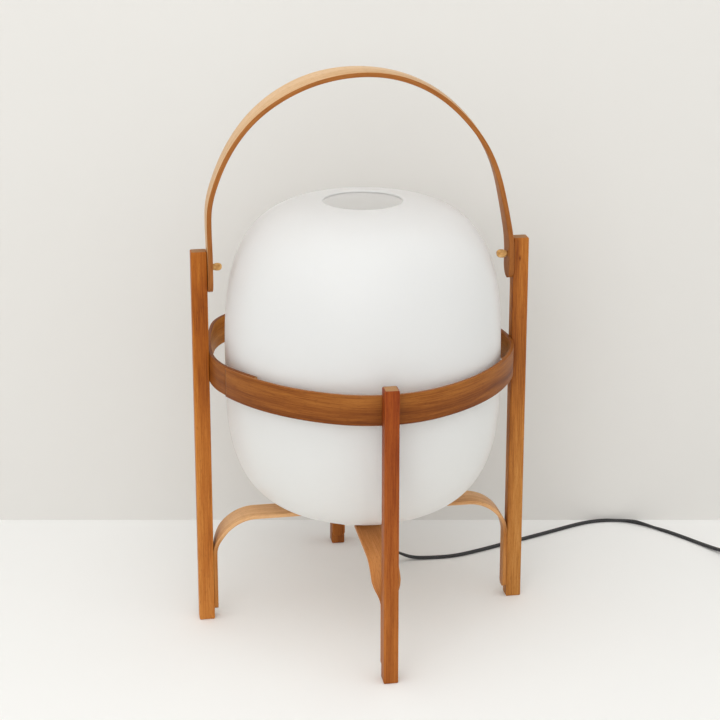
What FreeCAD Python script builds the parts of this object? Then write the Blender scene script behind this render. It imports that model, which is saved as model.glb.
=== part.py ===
import FreeCAD, Part
import math
import os

from FreeCAD import Placement, Rotation, Vector

# Lantern table lamp: four wooden posts, a bent hoop, two crossed bent braces, a swinging
# bent handle and an opal globe. Millimetres, +Z up, origin on the table under the lamp axis.
# The tall posts stand at -X and +X, the short posts at -Y (front) and +Y (back).

# posts
post_inner = 157.0          # lamp axis to a post's inner face
post_depth = 16.0           # radial
post_width = 14.5           # tangential
tall_post_height = 400.0
short_post_height = 303.0
post_ease = 1.2

# hoop, one bent strip glued to itself at a lap
hoop_bottom = 263.0
hoop_height = 30.0
hoop_thickness = 4.2
hoop_draw = 14.8            # midway between two posts, the doubled strip's inner face lies this far inside them
hoop_post_offset = 37.0     # centre of the bend at a post, from the lamp axis
full_corner_out = 23.0      # the left rear corner is bent fuller: its outer face, beyond the posts' inner faces
full_corner_post_bend = 420.0
lap_tip_angle = 199.5       # thin outer end
lap_end_angle = 215.0       # blunt inner end
lap_entry_offset = 54.3     # centre of the inner layer's first bend, from the lamp axis
lap_entry_turn = 33.0
lap_ramp_bend = 374.0
lap_glue = 0.15
strip_ease = 0.8

# braces, two bent strips crossing under the globe
brace_width = 29.0
brace_thickness = 4.0
brace_bend = 45.0           # outer radius
brace_leg_end = 11.0        # height of the leg's lower end
brace_top = 117.0           # top of the left-right brace, the upper one
taper_top = 97.0
taper_bottom = 77.0

# handle
handle_top = 578.0
handle_width = 25.0
handle_thickness = 5.0
handle_side_gap = 0.5       # leg's outer face to the post
pivot_height = 382.5
leg_below_pivot = 25.5

# laces that carry the handle
lace_radius = 2.0
lace_fit = 0.08
lace_depth = 10.0
knot_gap = 0.4
knot_radius = 4.6
knot_length = 7.0

# globe
globe_radius = 141.3
globe_shift = 1.5           # play in the foot's hole: it sits this far towards the right post
globe_widest = 281.0        # height of the widest line
globe_upper = 165.0         # widest line to the crown
globe_wall = 3.0
upper_height_power = 2.9
upper_radius_power = 3.64
lower_height_power = 3.26
lower_radius_power = 3.76
globe_flat_radius = 48.0
globe_hole_radius = 21.5
vent_radius = 40.0

# stack on the crossing
bore_radius = 5.0           # outside of the threaded nipple
bore_fit = 0.1
nipple_inner = 3.6
washer_radius = 12.0
washer_thickness = 1.2
nut_across_flats = 15.0
nut_thickness = 3.0
plate_radius = 52.0
plate_thickness = 2.5
plate_lip = 3.0
gasket_thickness = 3.5
gasket_inner = 24.0
gasket_outer = 44.0

# lamp holder and bulb
holder_radius = 19.5
holder_wall = 1.8
base_height = 27.0
skirt_height = 25.0
ring_radius = 29.0
ring_height = 6.0
ring_fit = 0.15
insert_radius = 17.4
insert_height = 20.0
insert_rise = 14.0          # above the plate
nipple_end = 4.0            # below the nut
nipple_rise = 2.5           # above the holder's floor
wire_radius = 1.1
shell_radius = 14.4
shell_wall = 0.6
shell_height = 24.0
cap_radius = 13.2
cap_height = 22.0
bulb_radius = 30.0
bulb_neck = 14.0
bulb_height = 82.0          # cap's rim to the crown
bulb_wall = 1.0

# hidden dowels that join the strips to the posts
hoop_dowel_radius = 2.5
brace_dowel_radius = 2.0
dowel_reach = 9.0           # into the post
dowel_cover = 1.4           # wood left over the dowel on the strip's inner face
dowel_fit = 0.05
dowel_end_gap = 0.2
brace_dowel_heights = (28.0, 60.0)

# cord
cord_radius = 2.75
floor_gap = 0.1
relief_length = 22.0
relief_wide = 5.8
relief_grip = 0.65          # wall at the sleeve's narrow end
relief_collar_radius = 6.8
relief_collar_height = 5.0
relief_lean = 36.0          # away from straight down
relief_heading = 56.0
cord_above_switch_foot = 3.75

# in-line switch, beyond the picture's edge
switch_length = 62.0
switch_width = 22.0
room_over_cord = 5.75       # cord's top to the switch's top
switch_wall = 1.6
switch_centre = (455.5, 2.15)
switch_turn = -60.0
switch_boot = 12.0
rocker_radius = 8.6
rocker_width = 9.0
rocker_tilt = 7.0
rocker_gap = 0.35
rocker_pin_radius = 0.9

# coil of the put-away cord
coil_centre = (462.0, -88.0)
coil_outer = 39.0           # centre line's radius at the first half turn
coil_spacing = 4.1          # clear distance from one turn to the next, and between the layers
coil_half_turns_in = 5      # lower layer
coil_half_turns_out = 4     # upper layer, after the half turn that climbs

# plug
plug_length = 36.0
plug_width = 26.0
plug_height = 14.0
plug_round = 5.5
plug_pin_radius = 2.0
plug_pin_length = 19.0
plug_pin_spacing = 18.6
plug_relief = 26.0

hoop_middle = hoop_bottom + hoop_height / 2
hoop_diagonal = post_inner - hoop_draw + 2 * hoop_thickness
lap_entry_bend = post_inner - lap_entry_offset
leg_line = post_inner - handle_side_gap - handle_thickness / 2
cross_bottom = brace_top - 2 * brace_thickness
plate_bottom = brace_top
plate_top = plate_bottom + plate_thickness
globe_bottom = plate_top + gasket_thickness
washer_bottom = cross_bottom - washer_thickness
nut_bottom = washer_bottom - nut_thickness
cord_low = cord_radius + floor_gap
cord_axis_at_switch = cord_radius + cord_above_switch_foot
switch_height = cord_axis_at_switch + cord_radius + room_over_cord
coil_step = 2 * cord_radius + coil_spacing
up = Vector(0, 0, 1)
clear_of = 10.0             # how far a cutting shape reaches past what it cuts

# the hoop's four corners from the right rear one on: outer face midway, outer bend at the posts
even_corner = (hoop_diagonal, post_inner - hoop_post_offset)
hoop_corners = [even_corner, (post_inner + full_corner_out, full_corner_post_bend), even_corner, even_corner]

# the handle's middle line as bent, from the right leg over the crown: share of the half span,
# share of the rise above the pivot, and the strip's twist in degrees, outer face forward
handle_shape = [
    (1.0, -0.07, 0.0), (1.0, 0.013, 0.0), (0.9935, 0.0907, 0.0), (0.9727, 0.1943, 0.8), (0.9403, 0.3238, 2.2),
    (0.8922, 0.4689, 3.7), (0.8071, 0.615, 4.3), (0.6714, 0.757, 3.9), (0.4994, 0.8767, 3.0),
    (0.3039, 0.9565, 2.8), (0.0942, 0.9953, 4.2), (-0.1234, 0.9959, 8.0), (-0.3351, 0.9601, 10.6),
    (-0.5273, 0.8896, 9.4), (-0.6909, 0.7917, 5.8), (-0.8175, 0.6731, 2.4), (-0.9071, 0.5472, 0.5),
    (-0.9656, 0.429, 0.0), (-0.9968, 0.3316, 0.0), (-1.0039, 0.2456, 0.0), (-1.0026, 0.1523, 0.0),
    (-1.0, 0.0648, 0.0), (-1.0, 0.02, 0.0), (-1.0, -0.03, 0.0), (-1.0, -0.08, 0.0),
]

# the cord's route from below the relief to the switch, chosen by hand
lamp_route = [
    (17.0, 26.0, 66.0),
    (26.0, 41.0, 53.0),
    (36.0, 58.0, 38.5),
    (47.0, 77.0, 24.0),
    (57.0, 93.0, 13.5),
    (66.0, 99.0, 7.5),
    (79.0, 99.0, cord_low + 0.6),
    (97.0, 95.5, cord_low),
    (122.0, 94.5, cord_low),
    (149.0, 104.5, cord_low),
    (179.0, 117.0, cord_low),
    (212.0, 129.5, cord_low),
    (246.0, 142.5, cord_low),
    (276.0, 155.0, cord_low),
    (300.0, 163.0, cord_low),
    (324.0, 164.0, cord_low),
    (346.0, 156.5, cord_low),
    (363.0, 142.5, cord_low),
    (379.0, 125.0, cord_low),
    (394.0, 105.0, cord_low),
    (408.5, 83.0, cord_low),
    (421.0, 61.0, cord_low + 1.6),
]


def box(low, high):
    size = [b - a for a, b in zip(low, high)]
    return Part.makeBox(*size, Vector(*low))


def rod(radius, start, end):
    line = Vector(*end) - Vector(*start)
    return Part.makeCylinder(radius, line.Length, Vector(*start), line)


def ring(outer, inner, bottom, top):
    body = Part.makeCylinder(outer, top - bottom, Vector(0, 0, bottom))
    return body.cut(Part.makeCylinder(inner, top - bottom, Vector(0, 0, bottom)))


def face_of(points):
    return Part.Face(Part.makePolygon([Vector(*p) for p in points + points[:1]]))


def eased(shape, radius, choose):
    """The shape with the chosen edges rounded."""
    edges = [edge for edge in shape.Edges if choose(edge)]
    return shape.makeFillet(radius, edges)


def save(name, shape):
    shape.exportStep("parts/" + name + ".step")


def at_post(index, shape):
    """A piece modelled for the +X post, turned to the post with this number."""
    turned = shape.copy()
    turned.rotate(Vector(0, 0, 0), up, 90.0 * index)
    return turned


# posts and dowels

def dowel(radius, strip_thickness, height):
    """Dowel from inside the strip into the +X post."""
    start = post_inner - strip_thickness + dowel_cover
    return rod(radius, (start, 0, height), (post_inner + dowel_reach, 0, height))


def dowel_hole(radius, strip_thickness, height):
    start = post_inner - strip_thickness + dowel_cover - dowel_end_gap
    return rod(radius + dowel_fit, (start, 0, height), (post_inner + dowel_reach + dowel_end_gap, 0, height))


def hoop_dowel_hole():
    return dowel_hole(hoop_dowel_radius, hoop_thickness, hoop_middle)


def brace_dowel_hole(level):
    return dowel_hole(brace_dowel_radius, brace_thickness, level)


def post(height, carries_handle):
    half = post_width / 2
    stick = box((post_inner, -half, 0), (post_inner + post_depth, half, height))
    stick = stick.makeFillet(post_ease, stick.Edges)
    stick = stick.cut(hoop_dowel_hole())
    for level in brace_dowel_heights:
        stick = stick.cut(brace_dowel_hole(level))
    if carries_handle:
        hole = rod(lace_radius + dowel_fit, (post_inner - 1, 0, pivot_height),
                   (post_inner + lace_depth + dowel_end_gap, 0, pivot_height))
        stick = stick.cut(hole)
    return stick


# hoop

def arc_between(centre, radius, start, end):
    """Arc in the XY plane about centre, angles in degrees."""
    def at(angle):
        a = math.radians(angle)
        return Vector(centre[0] + radius * math.cos(a), centre[1] + radius * math.sin(a), 0)
    return Part.Arc(at(start), at((start + end) / 2), at(end)).toShape()


def corner_arcs(diagonal, post_bend):
    """Centre offset at the post, half angle there, and centre offset and radius of the corner."""
    reach = post_inner - post_bend
    skew = math.sqrt(2) * reach
    over = post_bend ** 2 - diagonal ** 2 + skew * diagonal - reach ** 2
    bend = over / (2 * post_bend - 2 * diagonal + skew)
    shift = (diagonal - bend) / math.sqrt(2)
    away = 1 if bend < post_bend else -1
    half = math.degrees(math.atan2(away * shift, away * (shift - reach)))
    return reach, half, shift, bend


def hoop_outline(inset):
    """The hoop's closed outline in the XY plane, this far inside its outer face."""
    edges = []
    for quarter, (diagonal, post_bend) in enumerate(hoop_corners):
        reach, half, shift, bend = corner_arcs(diagonal, post_bend)
        arcs = [
            arc_between((reach, 0), post_bend - inset, 0, half),
            arc_between((shift, shift), bend - inset, half, 90 - half),
            arc_between((0, reach), post_bend - inset, 90 - half, 90),
        ]
        for edge in arcs:
            edge.rotate(Vector(0, 0, 0), up, 90.0 * quarter)
            edges.append(edge)
    return Part.Face(Part.Wire(edges))


def lap_face(outer_inset, reach_angle):
    """Face inside the inner layer's curve, from the left post on to reach_angle."""
    entry_centre = -(post_inner - lap_entry_bend)
    entry_end = 180.0 + lap_entry_turn
    entry = arc_between((entry_centre, 0), lap_entry_bend - outer_inset, 180.0, entry_end)
    a = math.radians(entry_end)
    shift = lap_ramp_bend - lap_entry_bend
    ramp_centre = (entry_centre - shift * math.cos(a), -shift * math.sin(a))
    ramp = arc_between(ramp_centre, lap_ramp_bend - outer_inset, entry_end, entry_end + 16.0)
    start = entry.Vertexes[0].Point
    end = ramp.Vertexes[1].Point
    sides = Part.makePolygon([end, Vector(0, 0, 0), start])
    face = Part.Face(Part.Wire([entry, ramp] + sides.Edges))
    return face.common(wedge(180.0, reach_angle))


def wedge(start, end):
    """Flat sector round the lamp axis, wide enough for the whole hoop."""
    reach = 3 * post_inner
    steps = 4
    points = [(0, 0, 0)]
    for k in range(steps + 1):
        a = math.radians(start + (end - start) * k / steps)
        points.append((reach * math.cos(a), reach * math.sin(a), 0))
    return face_of(points)


def hoop():
    """One strip round the posts; its blunt end lies inside its thin end."""
    ring_face = hoop_outline(0).cut(hoop_outline(hoop_thickness))
    inner_layer = lap_face(0, lap_end_angle).cut(lap_face(hoop_thickness, lap_end_angle))
    past_tip = ring_face.cut(wedge(180.0, lap_tip_angle))
    outer_layer = past_tip.cut(lap_face(-lap_glue, lap_end_angle))
    lift = Vector(0, 0, hoop_height)
    main = outer_layer.extrude(lift)
    lap = inner_layer.extrude(lift)
    strip = main.fuse(lap).removeSplitter()
    strip.translate(Vector(0, 0, hoop_bottom))
    for index in range(4):
        strip = strip.cut(at_post(index, hoop_dowel_hole()))
    return strip


# braces

def brace(top):
    """Bent strip in the XZ plane from one post's foot over to the other's."""
    def arch(inset):
        reach = post_inner - inset
        level = top - inset
        bend = brace_bend - inset
        a = math.sqrt(0.5) * bend
        left = (-reach + bend, level - bend)
        right = (reach - bend, level - bend)
        low = brace_leg_end
        edges = [
            Part.makeLine(Vector(-reach, 0, low), Vector(-reach, 0, left[1])),
            Part.Arc(Vector(-reach, 0, left[1]), Vector(left[0] - a, 0, left[1] + a),
                     Vector(left[0], 0, level)).toShape(),
            Part.makeLine(Vector(left[0], 0, level), Vector(right[0], 0, level)),
            Part.Arc(Vector(right[0], 0, level), Vector(right[0] + a, 0, right[1] + a),
                     Vector(reach, 0, right[1])).toShape(),
            Part.makeLine(Vector(reach, 0, right[1]), Vector(reach, 0, low)),
            Part.makeLine(Vector(reach, 0, low), Vector(-reach, 0, low)),
        ]
        return Part.Face(Part.Wire(edges))

    band = arch(0).cut(arch(brace_thickness))
    strip = band.extrude(Vector(0, brace_width, 0))
    strip.translate(Vector(0, -brace_width / 2, 0))
    strip = strip.common(brace_outline(top))
    strip = eased(strip, strip_ease, lambda e: long_brace_edge(e, top))
    strip = strip.cut(rod(bore_radius + bore_fit, (0, 0, 0), (0, 0, top + 5)))
    for level in brace_dowel_heights:
        for index in (0, 2):
            strip = strip.cut(at_post(index, brace_dowel_hole(level)))
    return strip


def brace_outline(top):
    """The strip's outline seen along X: wide above, drawn in to the post's width on the legs."""
    wide = brace_width / 2
    slim = post_width / 2
    high = top + 5
    points = [
        (0, -wide, high), (0, -wide, taper_top), (0, -slim, taper_bottom), (0, -slim, brace_leg_end),
        (0, slim, brace_leg_end), (0, slim, taper_bottom), (0, wide, taper_top), (0, wide, high),
    ]
    sheet = face_of(points).extrude(Vector(2 * post_inner + 4, 0, 0))
    sheet.translate(Vector(-post_inner - 2, 0, 0))
    corners = [e for e in sheet.Edges
               if abs(e.CenterOfMass.x) < 1 and e.Length > post_inner
               and abs(abs(e.CenterOfMass.z - (taper_top + taper_bottom) / 2)
                       - (taper_top - taper_bottom) / 2) < 0.1]
    return sheet.makeFillet(6.0, corners)


def long_brace_edge(edge, top):
    """The four edges of the strip's horizontal run and its bends."""
    if abs(edge.CenterOfMass.y) < brace_width / 2 - 0.2:
        return False
    return edge.CenterOfMass.z > taper_top


# handle

def handle_section(centre, ahead, twist):
    """Rounded rectangle square to the strip's run, turned about it by the twist."""
    outward = Vector(ahead.z, 0, -ahead.x)
    turn = math.radians(twist)
    wide = Vector(0, 1, 0) * math.cos(turn) + outward * math.sin(turn)
    deep = outward * math.cos(turn) - Vector(0, 1, 0) * math.sin(turn)
    half_w = handle_width / 2 - strip_ease
    half_t = handle_thickness / 2 - strip_ease

    def at(side_w, side_t, angle):
        a = math.radians(angle)
        return (centre + wide * (side_w * half_w + strip_ease * math.cos(a))
                + deep * (side_t * half_t + strip_ease * math.sin(a)))

    edges = []
    corners = [(1, 1, 0), (-1, 1, 90), (-1, -1, 180), (1, -1, 270)]
    for k, (side_w, side_t, start) in enumerate(corners):
        edges.append(Part.Arc(at(side_w, side_t, start), at(side_w, side_t, start + 45),
                              at(side_w, side_t, start + 90)).toShape())
        next_w, next_t, _ = corners[(k + 1) % 4]
        edges.append(Part.makeLine(at(side_w, side_t, start + 90), at(next_w, next_t, start + 90)))
    return Part.Wire(edges)


def handle():
    """Strip carried along its bent middle line, its twist easing from point to point."""
    crown = handle_top - handle_thickness / 2
    foot = pivot_height - leg_below_pivot
    points = [Vector(leg_line, 0, foot)]
    twists = [0.0]
    for across, rise, twist in handle_shape:
        points.append(Vector(across * leg_line, 0, pivot_height + rise * (crown - pivot_height)))
        twists.append(twist)
    points.append(Vector(-leg_line, 0, foot))
    twists.append(0.0)
    line = Part.BSplineCurve()
    line.interpolate(points)
    marks = [line.parameter(point) for point in points]
    sections = []
    for low, high, first, last in zip(marks, marks[1:], twists, twists[1:]):
        for share in (0.0, 0.5):
            place = low + (high - low) * share
            ahead = line.tangent(place)[0] * -1
            sections.append(handle_section(line.value(place), ahead, first + (last - first) * share))
    sections.append(handle_section(points[-1], line.tangent(marks[-1])[0] * -1, twists[-1]))
    strip = Part.makeLoft(sections, True, False)
    strip = strip.common(rounded_end())
    hole = rod(lace_radius + lace_fit, (-post_inner, 0, pivot_height), (post_inner, 0, pivot_height))
    return strip.cut(hole)


def rounded_end():
    """Everything above the legs' round ends, seen along X."""
    half = handle_width / 2
    wide = half + clear_of
    turn = pivot_height - leg_below_pivot + half
    high = handle_top + clear_of
    edges = [
        Part.makeLine(Vector(0, half, turn), Vector(0, wide, turn)),
        Part.makeLine(Vector(0, wide, turn), Vector(0, wide, high)),
        Part.makeLine(Vector(0, wide, high), Vector(0, -wide, high)),
        Part.makeLine(Vector(0, -wide, high), Vector(0, -wide, turn)),
        Part.makeLine(Vector(0, -wide, turn), Vector(0, -half, turn)),
        Part.Arc(Vector(0, -half, turn), Vector(0, 0, turn - half), Vector(0, half, turn)).toShape(),
    ]
    prism = Part.Face(Part.Wire(edges)).extrude(Vector(2 * (post_inner + clear_of), 0, 0))
    prism.translate(Vector(-post_inner - clear_of, 0, 0))
    return prism


def pivot_lace():
    """Lace set in the +X post, with its knot inside the handle's leg."""
    leg_inner = post_inner - handle_side_gap - handle_thickness
    knot_start = leg_inner - knot_gap
    knot_end = knot_start - knot_length
    stem = rod(lace_radius, (knot_start - 1, 0, pivot_height), (post_inner + lace_depth, 0, pivot_height))
    bow = Part.makeTorus(knot_radius - lace_radius, lace_radius, Vector(0, 0, 0), Vector(1, 0.35, 0.2))
    bow.translate(Vector((knot_start + knot_end) / 2, 0, pivot_height))
    core = Part.makeSphere(lace_radius + 0.6)
    core.translate(Vector((knot_start + knot_end) / 2, 0, pivot_height))
    tail = rod(lace_radius * 0.9, ((knot_start + knot_end) / 2, 0, pivot_height),
               (knot_end - 0.5, 0.6, pivot_height + 0.8))
    knot = bow.fuse(core).fuse(tail)
    room = box((knot_end - 6, -9, pivot_height - 9), (knot_start, 9, pivot_height + 9))
    return stem.fuse(knot.common(room))


# globe

def globe_curve(inset):
    """Half outline in the XZ plane as (radius, height) points, from the flat foot to the vent."""
    radius = globe_radius - inset
    share = (1 - (globe_flat_radius / globe_radius) ** lower_radius_power) ** (1 / lower_height_power)
    lower = (globe_widest - globe_bottom) / share - inset
    upper = globe_upper - inset
    foot = globe_bottom + inset
    top_radius = vent_radius + globe_wall / 2
    points = []
    foot_share = (globe_widest - foot) / lower
    start = math.asin(foot_share ** (lower_height_power / 2))
    steps = 9
    for k in range(steps):
        a = start * (1 - k / steps)
        r = radius * math.cos(a) ** (2 / lower_radius_power)
        z = globe_widest - lower * math.sin(a) ** (2 / lower_height_power)
        points.append((r, z))
    end = math.acos((top_radius / radius) ** (upper_radius_power / 2))
    for k in range(steps + 1):
        a = end * k / steps
        r = radius * math.cos(a) ** (2 / upper_radius_power)
        z = globe_widest + upper * math.sin(a) ** (2 / upper_height_power)
        points.append((r, z))
    return points


def globe():
    """Blown shell with a flat foot round its hole and a round lip at the vent."""
    outer = [Vector(r, 0, z) for r, z in globe_curve(0)]
    inner = [Vector(r, 0, z) for r, z in globe_curve(globe_wall)]
    outside = Part.BSplineCurve()
    outside.interpolate(outer)
    inside = Part.BSplineCurve()
    inside.interpolate(inner)
    lip = Vector(vent_radius, 0, (outer[-1].z + inner[-1].z) / 2)
    hole_low = Vector(globe_hole_radius, 0, outer[0].z)
    hole_high = Vector(globe_hole_radius, 0, inner[0].z)
    edges = [
        Part.makeLine(hole_low, outer[0]),
        outside.toShape(),
        Part.Arc(outer[-1], lip, inner[-1]).toShape(),
        inside.toShape(),
        Part.makeLine(inner[0], hole_high),
        Part.makeLine(hole_high, hole_low),
    ]
    wire = Part.Wire(Part.__sortEdges__(edges))
    shell = Part.makeSolid(Part.Face(wire).revolve(Vector(0, 0, 0), up, 360))
    shell.translate(Vector(globe_shift, 0, 0))
    return shell


# stack on the crossing

def support_plate():
    plate = ring(plate_radius, bore_radius + bore_fit, plate_bottom, plate_top)
    rim = ring(plate_radius, plate_radius - 1.5, plate_bottom - plate_lip, plate_bottom)
    notch_half = brace_width / 2 + 1
    for index in range(2):
        slot = box((-plate_radius - 1, -notch_half, plate_bottom - plate_lip - 1),
                   (plate_radius + 1, notch_half, plate_bottom))
        rim = rim.cut(at_post(index, slot))
    return plate.fuse(rim)


def gasket():
    return ring(gasket_outer, gasket_inner, plate_top, globe_bottom)


def nipple():
    return ring(bore_radius, nipple_inner, nut_bottom - nipple_end, plate_top + holder_wall + nipple_rise)


def washer():
    return ring(washer_radius, bore_radius + bore_fit, washer_bottom, cross_bottom)


def nut():
    reach = nut_across_flats / math.sqrt(3)
    points = []
    for k in range(6):
        a = math.radians(60 * k)
        points.append((reach * math.cos(a), reach * math.sin(a), nut_bottom))
    body = face_of(points).extrude(Vector(0, 0, nut_thickness))
    return body.cut(rod(bore_radius, (0, 0, nut_bottom - 1), (0, 0, washer_bottom + 1)))


def relief_direction():
    lean = math.radians(relief_lean)
    heading = math.radians(relief_heading)
    return Vector(math.sin(lean) * math.cos(heading), math.sin(lean) * math.sin(heading), -math.cos(lean))


def relief_end():
    return Vector(0, 0, nut_bottom - relief_collar_height / 2) + relief_direction() * relief_length


def cord_relief():
    """Rubber collar on the nipple's lower end, drawn out to a leaning tapered sleeve."""
    collar = Part.makeCylinder(relief_collar_radius, relief_collar_height,
                               Vector(0, 0, nut_bottom - relief_collar_height))
    rim = [e for e in collar.Edges if e.BoundBox.ZMax < nut_bottom - 1]
    collar = collar.makeFillet(1.5, rim)
    sleeve = Part.makeCone(cord_radius + relief_grip, relief_wide, relief_length, relief_end(), relief_direction() * -1)
    below = box((-40, -40, 0), (40, 40, nut_bottom))
    socket = rod(bore_radius + 0.05, (0, 0, nut_bottom - nipple_end), (0, 0, nut_bottom + 1))
    return collar.fuse(sleeve.common(below)).cut(socket)


# lamp holder and bulb

base_top = plate_top + base_height
skirt_top = base_top + skirt_height
insert_bottom = plate_top + insert_rise
insert_top = insert_bottom + insert_height
shell_top = insert_top + shell_height - 6.0
cap_bottom = insert_top + 1.5
cap_top = cap_bottom + cap_height


def holder_base():
    """Threaded cup that stands on the plate and takes the clamping ring."""
    cup = Part.makeCylinder(holder_radius, base_height, Vector(0, 0, plate_top))
    hollow = Part.makeCylinder(holder_radius - holder_wall, base_height, Vector(0, 0, plate_top + holder_wall))
    bore = rod(bore_radius, (0, 0, plate_top - 1), (0, 0, base_top))
    return cup.cut(hollow).cut(bore)


def holder_skirt():
    skirt = ring(holder_radius, holder_radius - holder_wall, base_top, skirt_top)
    return skirt.fuse(ring(holder_radius + 1.2, holder_radius - 1, base_top, base_top + 3))


def holder_insert():
    """Porcelain body with the well for the centre contact and two wire holes."""
    body = Part.makeCylinder(insert_radius, insert_height, Vector(0, 0, insert_bottom))
    well = Part.makeCylinder(shell_radius - 3, 6, Vector(0, 0, insert_top - 6))
    body = body.cut(well)
    groove = ring(shell_radius + 0.1, shell_radius - shell_wall - 0.1, insert_top - 6, insert_top)
    body = body.cut(groove)
    for side in (-1, 1):
        body = body.cut(rod(1.7, (side * 9.0, 0, insert_bottom - 1), (side * 9.0, 0, insert_bottom + 9)))
        body = body.cut(rod(1.3, (side * 20.0, 0, insert_bottom + 6), (side * 10.0, 0, insert_bottom + 6)))
    return body


def thread_shell():
    return ring(shell_radius, shell_radius - shell_wall, insert_top - 6, shell_top)


def centre_contact():
    """Springy tongue that rises from the porcelain's well."""
    low = insert_top - 6
    high = cap_bottom - 1.45
    strip = [
        (-6.0, -2.2, low), (6.0, -2.2, low), (6.0, -2.2, low + 0.7), (1.5, -2.2, low + 0.9),
        (4.0, -2.2, high - 0.4), (3.0, -2.2, high), (0.2, -2.2, low + 0.7), (-6.0, -2.2, low + 0.7),
    ]
    return face_of(strip).extrude(Vector(0, 4.4, 0))


def terminal_screws():
    shapes = []
    for side in (-1, 1):
        shapes.append(rod(1.2, (side * 16.0, 0, insert_bottom + 6), (side * 10.5, 0, insert_bottom + 6)))
    return Part.makeCompound(shapes)


def supply_wires():
    """Two cores from the relief up through the nipple to the porcelain's wire holes."""
    shapes = []
    nipple_top = plate_top + holder_wall + nipple_rise
    for side in (-1, 1):
        route = [(side * 1.6, 0, nut_bottom - nipple_end + 0.2), (side * 1.6, 0, nipple_top + 2.0),
                 (side * 9.0, 0, insert_bottom - 1.5), (side * 9.0, 0, insert_bottom + 4.0)]
        shapes.append(tube(route, wire_radius))
    return Part.makeCompound(shapes)


def shade_ring():
    """Ring that screws down on the globe's foot."""
    bottom = globe_bottom + globe_wall
    body = ring(ring_radius, holder_radius + ring_fit, bottom, bottom + ring_height)
    for k in range(12):
        a = math.radians(30 * k)
        grip = rod(1.5, (ring_radius * math.cos(a), ring_radius * math.sin(a), bottom + 2),
                   (ring_radius * math.cos(a), ring_radius * math.sin(a), bottom + ring_height + 1))
        body = body.cut(grip)
    return body


def bulb_outline(inset):
    """Pear outline as an edge list in the XZ plane, from the cap's rim to the crown."""
    low = cap_top
    high = cap_top + bulb_height - inset
    centre = Vector(0, 0, high + inset - bulb_radius)
    radius = bulb_radius - inset
    neck = bulb_neck - inset
    side = math.radians(-28)
    join = centre + Vector(math.cos(side), 0, math.sin(side)) * radius
    middle = centre + Vector(math.cos(math.radians(31)), 0, math.sin(math.radians(31))) * radius
    crown = Vector(0, 0, high)
    flank = Part.BSplineCurve()
    tangent = Vector(math.sin(side), 0, -math.cos(side))
    flank.interpolate(Points=[join, Vector(neck, 0, low + 6)],
                      InitialTangent=tangent * 40, FinalTangent=Vector(0, 0, -30))
    return low, high, neck, crown, middle, join, flank


def bulb_glass():
    _, _, neck, crown, middle, join, flank = bulb_outline(0)
    _, _, neck_in, crown_in, middle_in, join_in, flank_in = bulb_outline(bulb_wall)
    edges = [
        Part.Arc(crown, middle, join).toShape(),
        flank.toShape(),
        Part.makeLine(Vector(neck, 0, cap_top + 6), Vector(neck, 0, cap_top)),
        Part.makeLine(Vector(neck, 0, cap_top), Vector(neck_in, 0, cap_top)),
        Part.makeLine(Vector(neck_in, 0, cap_top), Vector(neck_in, 0, cap_top + 6)),
        flank_in.toShape(),
        Part.Arc(join_in, middle_in, crown_in).toShape(),
        Part.makeLine(crown_in, crown),
    ]
    wire = Part.Wire(Part.__sortEdges__(edges))
    return Part.makeSolid(Part.Face(wire).revolve(Vector(0, 0, 0), up, 360))


def bulb_cap():
    """Screw cap, its thread as round ribs of the thread's pitch."""
    body = Part.makeCylinder(cap_radius - 0.7, cap_height, Vector(0, 0, cap_bottom))
    for k in range(5):
        rib = Part.makeTorus(cap_radius - 0.9, 0.9, Vector(0, 0, cap_bottom + 3 + 3.6 * k))
        body = body.fuse(rib)
    return body


def bulb_contact():
    disc = Part.makeCylinder(8.0, 0.8, Vector(0, 0, cap_bottom - 0.8))
    return disc.fuse(Part.makeCylinder(4.0, 0.6, Vector(0, 0, cap_bottom - 1.4)))


# cord

def unit(v):
    return v * (1 / v.Length)


def tube(points, radius, report=None):
    """Tube along straight runs joined by arcs as large as the runs allow."""
    points = [Vector(*p) for p in points]
    edges = []
    length = 0.0
    radii = []
    start = points[0]
    for before, here, after in zip(points, points[1:], points[2:]):
        first = here - before
        second = after - here
        turn = first.getAngle(second)
        cut = 0.45 * min(first.Length, second.Length)
        bend = cut / math.tan(turn / 2)
        radii.append(bend)
        entry = here - unit(first) * cut
        leave = here + unit(second) * cut
        inward = unit(unit(second) - unit(first))
        middle = here + inward * (bend / math.cos(turn / 2) - bend)
        edges.append(Part.LineSegment(start, entry).toShape())
        edges.append(Part.Arc(entry, middle, leave).toShape())
        length += entry.distanceToPoint(start) + bend * turn
        start = leave
    edges.append(Part.LineSegment(start, points[-1]).toShape())
    length += points[-1].distanceToPoint(start)
    path = Part.Wire(edges)
    solid = piped(path, radius, points[0], points[1] - points[0])
    if report:
        share = solid.Volume / (math.pi * radius ** 2 * length)
        print(report, "length", round(length, 1), "tightest bend", round(min(radii), 1),
              "volume share", round(share, 4))
    return solid


def piped(path, radius, start, direction):
    section = Part.Wire(Part.Circle(start, direction, radius).toShape())
    return path.makePipeShell([section], True, False)


def tangent_arc(start, tangent, end):
    """Arc from start along tangent to end, and the direction it ends in."""
    chord = end - start
    across = chord - tangent * chord.dot(tangent)
    across = unit(across)
    bend = chord.Length ** 2 / (2 * chord.dot(across))
    centre = start + across * bend
    middle = (start - centre) + (end - centre)
    middle = unit(middle) if middle.Length > 0.01 * bend else tangent
    edge = Part.Arc(start, centre + middle * bend, end).toShape()
    leaving = unit(chord * (2 * tangent.dot(chord) / chord.Length ** 2) - tangent)
    return edge, leaving


def coil_start():
    """Where the switch's outlet line touches the coil's first turn."""
    along = switch_direction()
    side = Vector(-along.y, along.x, 0)
    return Vector(coil_centre[0], coil_centre[1], cord_low) + side * coil_outer


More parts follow.
